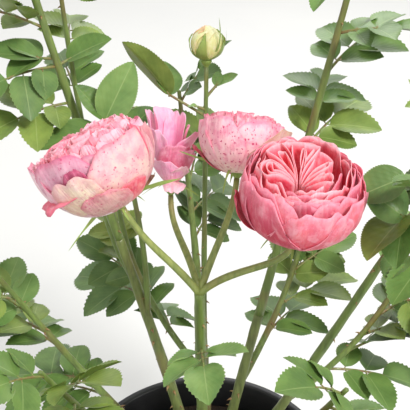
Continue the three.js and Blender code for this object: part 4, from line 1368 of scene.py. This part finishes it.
def build_bloom_middle():
    """The cupped bloom in the middle, its face turned away."""
    low = (7.0, 3.5)
    rows = (
        dict(count=4, radius=29, height=40, lean=-12, width=50, curl=10, ruffle=0.9, azimuth=10, sweep=180,
             root=low, tint="speckled"),
        dict(count=5, radius=27.5, height=42, lean=-20, width=42, curl=8, ruffle=1.0, root=low,
             tint="speckled"),
        dict(count=9, radius=25.5, height=44, lean=-18, width=22, curl=14, ruffle=1.6, root=low,
             tint="crest"),
        dict(count=11, radius=22, height=45, lean=-12, width=16, curl=14, ruffle=1.6, tint="crest"),
    )
    wall = dict(radius=29, height=40, lean=-18, curl=10, ruffle=0.9, root=low)
    petals = (
        guard(-130, "speckled", wall, 1.02, 46, 1.6),
        guard(-78, "speckled", wall, 0.96, 50, 1.0, skew=10, notch=0.0),
        guard(-28, "speckled", wall, 1.0, 46, 0.6),
        # This petal lies in shade and takes the darker tint: painted shade
        guard(-18, "dusky", wall, 0.94, 60, 2.6, flare=3.0),
        guard(-176, "speckled", wall, 1.0, 40, 0.6, ruffle=1.2),
        guard(178, "crimson", wall, 0.62, 16, 2.2, flare=3.0, skew=-8),
    )
    face = dict(inner=3, outer=20, top=46, dip=3, fall=2, base=20, page=6, tints=("crest", "speckled"))
    fans = ((-90, 44, 5), (0, 44, 5), (90, 44, 4), (180, 44, 5))
    sepals = ((-178, 84, 76, 40, 5, 60), (-120, 100, 172, 28, 5, 30), (-60, 100, 172, 18, 4.5, 0),
              (20, 95, 165, 20, 4.5, 0), (100, 80, 150, 20, 4.5, 0))
    tints = ("speckled", "dusky", "crest", "crimson")
    make_bloom("bloom_middle", tints, rows, petals, face, fans, sepals)


def build_bloom_spent():
    """The narrow spent bloom behind, its last petals loose and upright."""
    petals = (
        dict(azimuth=176, radius=18.5, height=65, lean=4, width=20, curl=10, ruffle=0.8, waves=1.2,
             tint="lilac"),
        dict(azimuth=138, radius=13, height=67, lean=4, width=30, curl=14, ruffle=1.2, waves=1.6,
             tint="lilac"),
        dict(azimuth=62, radius=11, height=64, lean=6, width=24, curl=14, ruffle=1.0, waves=1.4, notch=0.08,
             tint="lilac"),
        dict(azimuth=20, radius=13, height=54, lean=14, width=9, curl=10, ruffle=0.6, tint="lilac_deep"),
        dict(azimuth=-16, radius=22, height=50, lean=36, width=34, curl=-4, ruffle=0.7, tint="lilac"),
        dict(azimuth=-148, radius=17.5, height=52, lean=6, width=22, curl=16, ruffle=1.2, skew=10,
             tint="lilac"),
        dict(azimuth=-88, radius=16.5, height=41, lean=-4, width=38, curl=52, ruffle=1.4, skew=14,
             rounding=0.3, tint="lilac_deep"),
        dict(azimuth=-46, radius=19, height=38, lean=26, width=22, curl=40, ruffle=1.2, tint="lilac_deep"),
        dict(azimuth=-116, radius=18, height=29, lean=24, width=30, curl=20, ruffle=1.0, tint="lilac"),
        dict(azimuth=-58, radius=20, height=25, lean=52, width=30, curl=16, ruffle=1.0, point=0.3,
             tint="lilac_pale"),
        dict(azimuth=-80, radius=15, height=4, lean=160, width=19, curl=-20, ruffle=1.0, root=(4.0, 11.0),
             tint="lilac_pale"),
        dict(azimuth=-140, radius=13, height=34, lean=2, width=24, curl=20, ruffle=1.0, tint="lilac"),
        dict(azimuth=-30, radius=9, height=36, lean=0, width=20, curl=10, ruffle=1.2, tint="lilac_deep"),
    )
    sepals = ((-170, 90, 130, 20, 3.6, 40), (-20, 95, 120, 20, 3.6, 40), (60, 90, 140, 18, 3.6, 0),
              (120, 90, 120, 18, 3.6, 0))
    tints = ("lilac", "lilac_deep", "lilac_pale")
    make_bloom("bloom_spent", tints, petals=petals, sepals=sepals)


def build_back_blooms():
    """The two blooms on the far side."""
    sepals = tuple((72 * i, 70, 140, 24, 4.5, 20) for i in range(5))
    for name, outside in (("bloom_back_left", "coral_guard"), ("bloom_back_right", "speckled")):
        size = BLOOMS[name]["width"] / BACK_WIDTH
        rows = (
            dict(count=6, radius=34 * size, height=42 * size, lean=4, width=48, curl=24, ruffle=1.3,
                 tint=outside),
            dict(count=6, radius=33 * size, height=47 * size, lean=-8, width=44, curl=14, ruffle=1.2,
                 tint=outside),
            dict(count=6, radius=30 * size, height=50 * size, lean=-14, width=38, curl=12, ruffle=1.1,
                 tint="coral_inner"),
            dict(count=8, radius=26 * size, height=51 * size, lean=-12, width=27, curl=12, ruffle=1.0,
                 tint="coral_inner"),
        )
        face = dict(inner=3, outer=24 * size, top=53 * size, dip=7, fall=3, base=20, page=8,
                    tints=("coral_fold", "coral_inner"))
        fans = ((20, 42, 4), (110, 42, 4), (200, 42, 4), (290, 42, 4))
        make_bloom(name, (outside, "coral_inner", "coral_fold"), rows, (), face, fans, sepals)


def build_bud():
    """The cream bud in its green sepals."""
    petals = tuple(
        dict(azimuth=120 * i + 47 * ring - 100, radius=2.8 - 0.6 * ring, height=30.5 + 0.8 * ring,
             lean=-74 + 3 * ring, width=40 - 3 * ring, root=(2.6, 5.5), curl=0, ruffle=0.3, notch=0,
             tuck=1.0, rounding=0.16, foot_width=0.4, tint="bud_blush" if i == 1 else "bud_cream")
        for ring in range(3) for i in range(3))
    wall = dict(radius=2.8, height=30.5, lean=-74, curl=0, ruffle=0.2, root=(2.6, 5.5), tuck=0.3, notch=0,
                foot_width=0.7, point=0.75)
    clasping = tuple(
        guard(azimuth, "sepal", wall, cut, 15, 1.5, flare=flare, skew=skew)
        for azimuth, cut, flare, skew in ((-122, 0.8, 0.2, 26), (-20, 0.78, 1.2, 8), (-176, 0.76, 0.3, 4),
                                          (40, 0.9, 3.0, 0), (112, 0.84, 1.5, 0)))
    tints = ("bud_cream", "bud_blush", "sepal")
    tips = ((-50, 66, -12, 36, 2.8, 0), (8, 76, -4, 27, 2.6, 0))
    make_bloom("bud", tints, petals=petals + clasping, sepals=tips)


# Pot and compost

def lathe(bm, profile, steps):
    """Spins a profile of (radius, height) in millimetres into a closed shell."""
    verts = [bm.verts.new((r * MM, 0, z * MM)) for r, z in profile]
    edges = [bm.edges.new(pair) for pair in zip(verts, verts[1:])]
    bmesh.ops.spin(bm, geom=verts + edges, cent=(0, 0, 0), axis=(0, 0, 1), dvec=(0, 0, 0),
                   angle=2 * math.pi, steps=steps, use_merge=True, use_duplicate=False)
    bmesh.ops.remove_doubles(bm, verts=bm.verts, dist=0.00001)
    for face in bm.faces:
        face.smooth = True
    bmesh.ops.recalc_face_normals(bm, faces=bm.faces)


def build_pot():
    """The nursery pot: a tapered wall with moulded rings, a rolled rim and a foot."""
    colours = bpy.context.scene.rose_colours
    height, base, top = POT["height"], POT["base"], POT["top"]
    lip, under_rim = top + POT["rim_out"], height - POT["rim_height"]
    wall, floor = POT["wall"] - 0.6, POT["floor"]

    def outer(z):
        return base + (top - base) * z / under_rim
    profile = [(0, 1.2), (base - 14, 1.2), (base - 12, 0), (base - 1.5, 0), (base, 1.5)]
    for ring in (0.2, 0.78):
        z = ring * under_rim
        profile += [(outer(z - 3), z - 3), (outer(z) + 1.0, z - 1),
                    (outer(z) + 1.0, z + 1), (outer(z + 3), z + 3)]
    profile += [(top - 1.5, under_rim - 2), (top - 0.5, under_rim), (lip - 1, under_rim),
                (lip, under_rim + 1.2), (lip + 1, height - 3), (lip + 0.8, height - 0.8),
                (lip - 0.6, height), (top - wall + 1, height), (top - wall, height - 1.2),
                (outer(height * 0.85) - wall, height * 0.84), (base - wall, floor), (0, floor)]
    bm = bmesh.new()
    lathe(bm, profile, 96)
    scuffed = blend(colours.pot, (0.03, 0.03, 0.03), 0.4)
    material = plain_material("black_plastic", scuffed, colours.pot, 60, 0.45, 0.25, 0.0004)
    finished(bm, "pot_moulded", (material,), ["pot"])


def build_soil():
    """The compost: a rough surface with crumbs and bits of bark."""
    colours = bpy.context.scene.rose_colours
    bm = new_bmesh()
    draw = Draw(SEEDS["compost"])
    edge = SOIL_TOP - SOIL["rise"]
    wide = POT["base"] + (POT["top"] - POT["base"]) * edge / POT["height"] - POT["wall"] - 0.6

    def surface(u, v):
        r = wide * v
        turn = math.pi * u
        x, y = r * math.cos(turn), r * math.sin(turn)
        rough = (math.sin(x * 0.41 + 1.3 * math.sin(y * 0.23)) + math.sin(y * 0.53 + x * 0.19)
                 + 0.6 * math.sin(x * 1.3) * math.sin(y * 1.1))
        return (x, y, SOIL_TOP - 1.2 - SOIL["rise"] * v ** 2.5 + 0.6 * rough * min(1, 3 * (1 - v)))
    sheet(bm, 120, 44, surface, 0)

    def under(u, v):
        low = POT["base"] - POT["wall"] - 1
        r = (wide + (low - wide) * min(1, 1.25 * v)) * (1 if v < 0.9 else 0)
        z = edge - 1.2 + (POT["floor"] + 1 - edge) * min(1, 1.25 * v)
        return (r * math.cos(math.pi * u), -r * math.sin(math.pi * u), z)
    sheet(bm, 60, 10, under, 0)
    for i in range(CRUMBS):
        r = wide * 0.95 * math.sqrt(draw.next())
        turn = draw.between(0, 2 * math.pi)
        size = draw.between(0.8, 3.2)
        chip = bmesh.ops.create_icosphere(bm, subdivisions=1, radius=size * MM)["verts"]
        stretch = (draw.between(0.6, 2.4), draw.between(0.6, 1.2), draw.between(0.3, 0.7))
        bmesh.ops.scale(bm, vec=stretch, verts=chip)
        bmesh.ops.rotate(bm, cent=(0, 0, 0), matrix=Matrix.Rotation(turn * 5, 3, "Z"), verts=chip)
        height = SOIL_TOP - 0.9 - SOIL["rise"] * (r / wide) ** 2.5
        spot = Vector((r * math.cos(turn), r * math.sin(turn), height)) * MM
        bmesh.ops.translate(bm, vec=spot, verts=chip)
        for face in {face for vert in chip for face in vert.link_faces}:
            face.material_index = 1 if i % 4 == 0 else 0
    moist = blend(colours.soil, (0, 0, 0), 0.6)
    materials = (
        plain_material("compost", colours.soil, moist, 160, 0.95, 0.9, 0.0015),
        plain_material("bark_chips", srgb(122, 90, 62), srgb(70, 48, 34), 120, 0.85, 0.6, 0.0008),
    )
    finished(bm, "compost_surface", materials, ["soil"])


def make_floor():
    """The pale floor that the pot stands on, a hair below it."""
    scene = bpy.context.scene
    bm = bmesh.new()
    bmesh.ops.create_grid(bm, x_segments=1, y_segments=1, size=FLOOR["size"])
    mesh = bpy.data.meshes.new("floor")
    bm.to_mesh(mesh)
    bm.free()
    floor = bpy.data.objects.new("floor", mesh)
    floor.location = (0, 0, -FLOOR["drop"])
    tone = scene.rose_colours.floor
    shade = blend(tone, (0.6, 0.6, 0.6), 0.15)
    mesh.materials.append(plain_material("floor", tone, shade, 3, 0.8, 0.05, 0.001))
    scene.collection.objects.link(floor)


def build_stage():
    """The floor, the lights and the camera."""
    make_floor()
    scene = bpy.context.scene
    for name, lamp in LIGHTS.items():
        light = bpy.data.lights.new(name, "AREA")
        light.energy, light.size = lamp["power"], lamp["size"]
        aim = Vector(LIGHTS_AIM) - Vector(lamp["place"])
        panel = bpy.data.objects.new(name, light)
        panel.location = lamp["place"]
        panel.rotation_euler = aim.to_track_quat("-Z", "Y").to_euler()
        scene.collection.objects.link(panel)
    world = bpy.data.worlds.new("studio")
    world.use_nodes = True
    sky = world.node_tree.nodes["Background"].inputs
    sky["Color"].default_value = (*SKY["colour"], 1)
    sky["Strength"].default_value = SKY["strength"]
    scene.world = world
    scene.view_settings.view_transform = "Standard"
    camera = bpy.data.cameras.new("camera")
    camera.lens, camera.sensor_width = scene.rose_sizes.camera_lens, SENSOR_WIDTH
    camera.dof.use_dof = False
    camera.clip_start = 0.02
    view = bpy.data.objects.new("camera", camera)
    view.location = CAMERA_PLACE
    view.rotation_euler = (math.radians(90) - scene.rose_sizes.camera_pitch, 0, 0)
    scene.collection.objects.link(view)
    scene.camera = view


class ROSE_OT_stage(bpy.types.Operator):
    """Makes the floor, the lights and the camera."""

    bl_idname = "rose.stage"
    bl_label = "Stage"

    def execute(self, context):
        build_stage()
        return {"FINISHED"}


class ROSE_OT_pot(bpy.types.Operator):
    """Makes the moulded pot."""

    bl_idname = "rose.pot"
    bl_label = "Pot"

    def execute(self, context):
        build_pot()
        return {"FINISHED"}


class ROSE_OT_soil(bpy.types.Operator):
    """Makes the compost in the pot."""

    bl_idname = "rose.soil"
    bl_label = "Compost"

    def execute(self, context):
        build_soil()
        return {"FINISHED"}


class ROSE_OT_canes(bpy.types.Operator):
    """Makes the stump, the boughs and the flower stalks."""

    bl_idname = "rose.canes"
    bl_label = "Canes"

    def execute(self, context):
        build_canes()
        return {"FINISHED"}


class ROSE_OT_foliage(bpy.types.Operator):
    """Grows the twigs and the leaves."""

    bl_idname = "rose.foliage"
    bl_label = "Foliage"

    def execute(self, context):
        build_foliage()
        return {"FINISHED"}


class ROSE_OT_bloom_right(bpy.types.Operator):
    """Makes the full bloom at the right."""

    bl_idname = "rose.bloom_right"
    bl_label = "Right bloom"

    def execute(self, context):
        build_bloom_right()
        return {"FINISHED"}


class ROSE_OT_bloom_left(bpy.types.Operator):
    """Makes the pale bloom at the left."""

    bl_idname = "rose.bloom_left"
    bl_label = "Left bloom"

    def execute(self, context):
        build_bloom_left()
        return {"FINISHED"}


class ROSE_OT_bloom_middle(bpy.types.Operator):
    """Makes the cupped bloom in the middle."""

    bl_idname = "rose.bloom_middle"
    bl_label = "Middle bloom"

    def execute(self, context):
        build_bloom_middle()
        return {"FINISHED"}


class ROSE_OT_bloom_spent(bpy.types.Operator):
    """Makes the narrow spent bloom behind."""

    bl_idname = "rose.bloom_spent"
    bl_label = "Spent bloom"

    def execute(self, context):
        build_bloom_spent()
        return {"FINISHED"}


class ROSE_OT_back_blooms(bpy.types.Operator):
    """Makes the two blooms on the far side."""

    bl_idname = "rose.back_blooms"
    bl_label = "Back blooms"

    def execute(self, context):
        build_back_blooms()
        return {"FINISHED"}


class ROSE_OT_bud(bpy.types.Operator):
    """Makes the cream bud."""

    bl_idname = "rose.bud"
    bl_label = "Bud"

    def execute(self, context):
        build_bud()
        return {"FINISHED"}


OPERATORS = (ROSE_OT_stage, ROSE_OT_pot, ROSE_OT_soil, ROSE_OT_canes, ROSE_OT_foliage,
             ROSE_OT_bloom_right, ROSE_OT_bloom_left, ROSE_OT_bloom_middle, ROSE_OT_bloom_spent,
             ROSE_OT_back_blooms, ROSE_OT_bud)


class ROSE_PT_panel(bpy.types.Panel):
    """Lists the bush's settings and pieces."""

    bl_idname = "ROSE_PT_panel"
    bl_label = "Rose bush"
    bl_space_type = "VIEW_3D"
    bl_region_type = "UI"
    bl_category = "Rose bush"

    def draw(self, context):
        """Draws the settings and one button for each piece."""
        for group in (context.scene.rose_sizes, context.scene.rose_colours):
            for name in group.__annotations__:
                self.layout.prop(group, name)
        for made in OPERATORS:
            self.layout.operator(made.bl_idname)


def register():
    """Registers the settings, the operators and the panel."""
    for made in (BushSizes, BushColours, *OPERATORS, ROSE_PT_panel):
        bpy.utils.register_class(made)
    bpy.types.Scene.rose_sizes = bpy.props.PointerProperty(type=BushSizes)
    bpy.types.Scene.rose_colours = bpy.props.PointerProperty(type=BushColours)


def unregister():
    """Removes what register adds."""
    del bpy.types.Scene.rose_colours
    del bpy.types.Scene.rose_sizes
    for made in reversed((BushSizes, BushColours, *OPERATORS, ROSE_PT_panel)):
        bpy.utils.unregister_class(made)


def main():
    """Makes every piece in order."""
    register()
    bpy.ops.rose.stage()
    bpy.ops.rose.pot()
    bpy.ops.rose.soil()
    bpy.ops.rose.canes()
    bpy.ops.rose.foliage()
    bpy.ops.rose.bloom_right()
    bpy.ops.rose.bloom_left()
    bpy.ops.rose.bloom_middle()
    bpy.ops.rose.bloom_spent()
    bpy.ops.rose.back_blooms()
    bpy.ops.rose.bud()


if __name__ == "__main__":
    main()
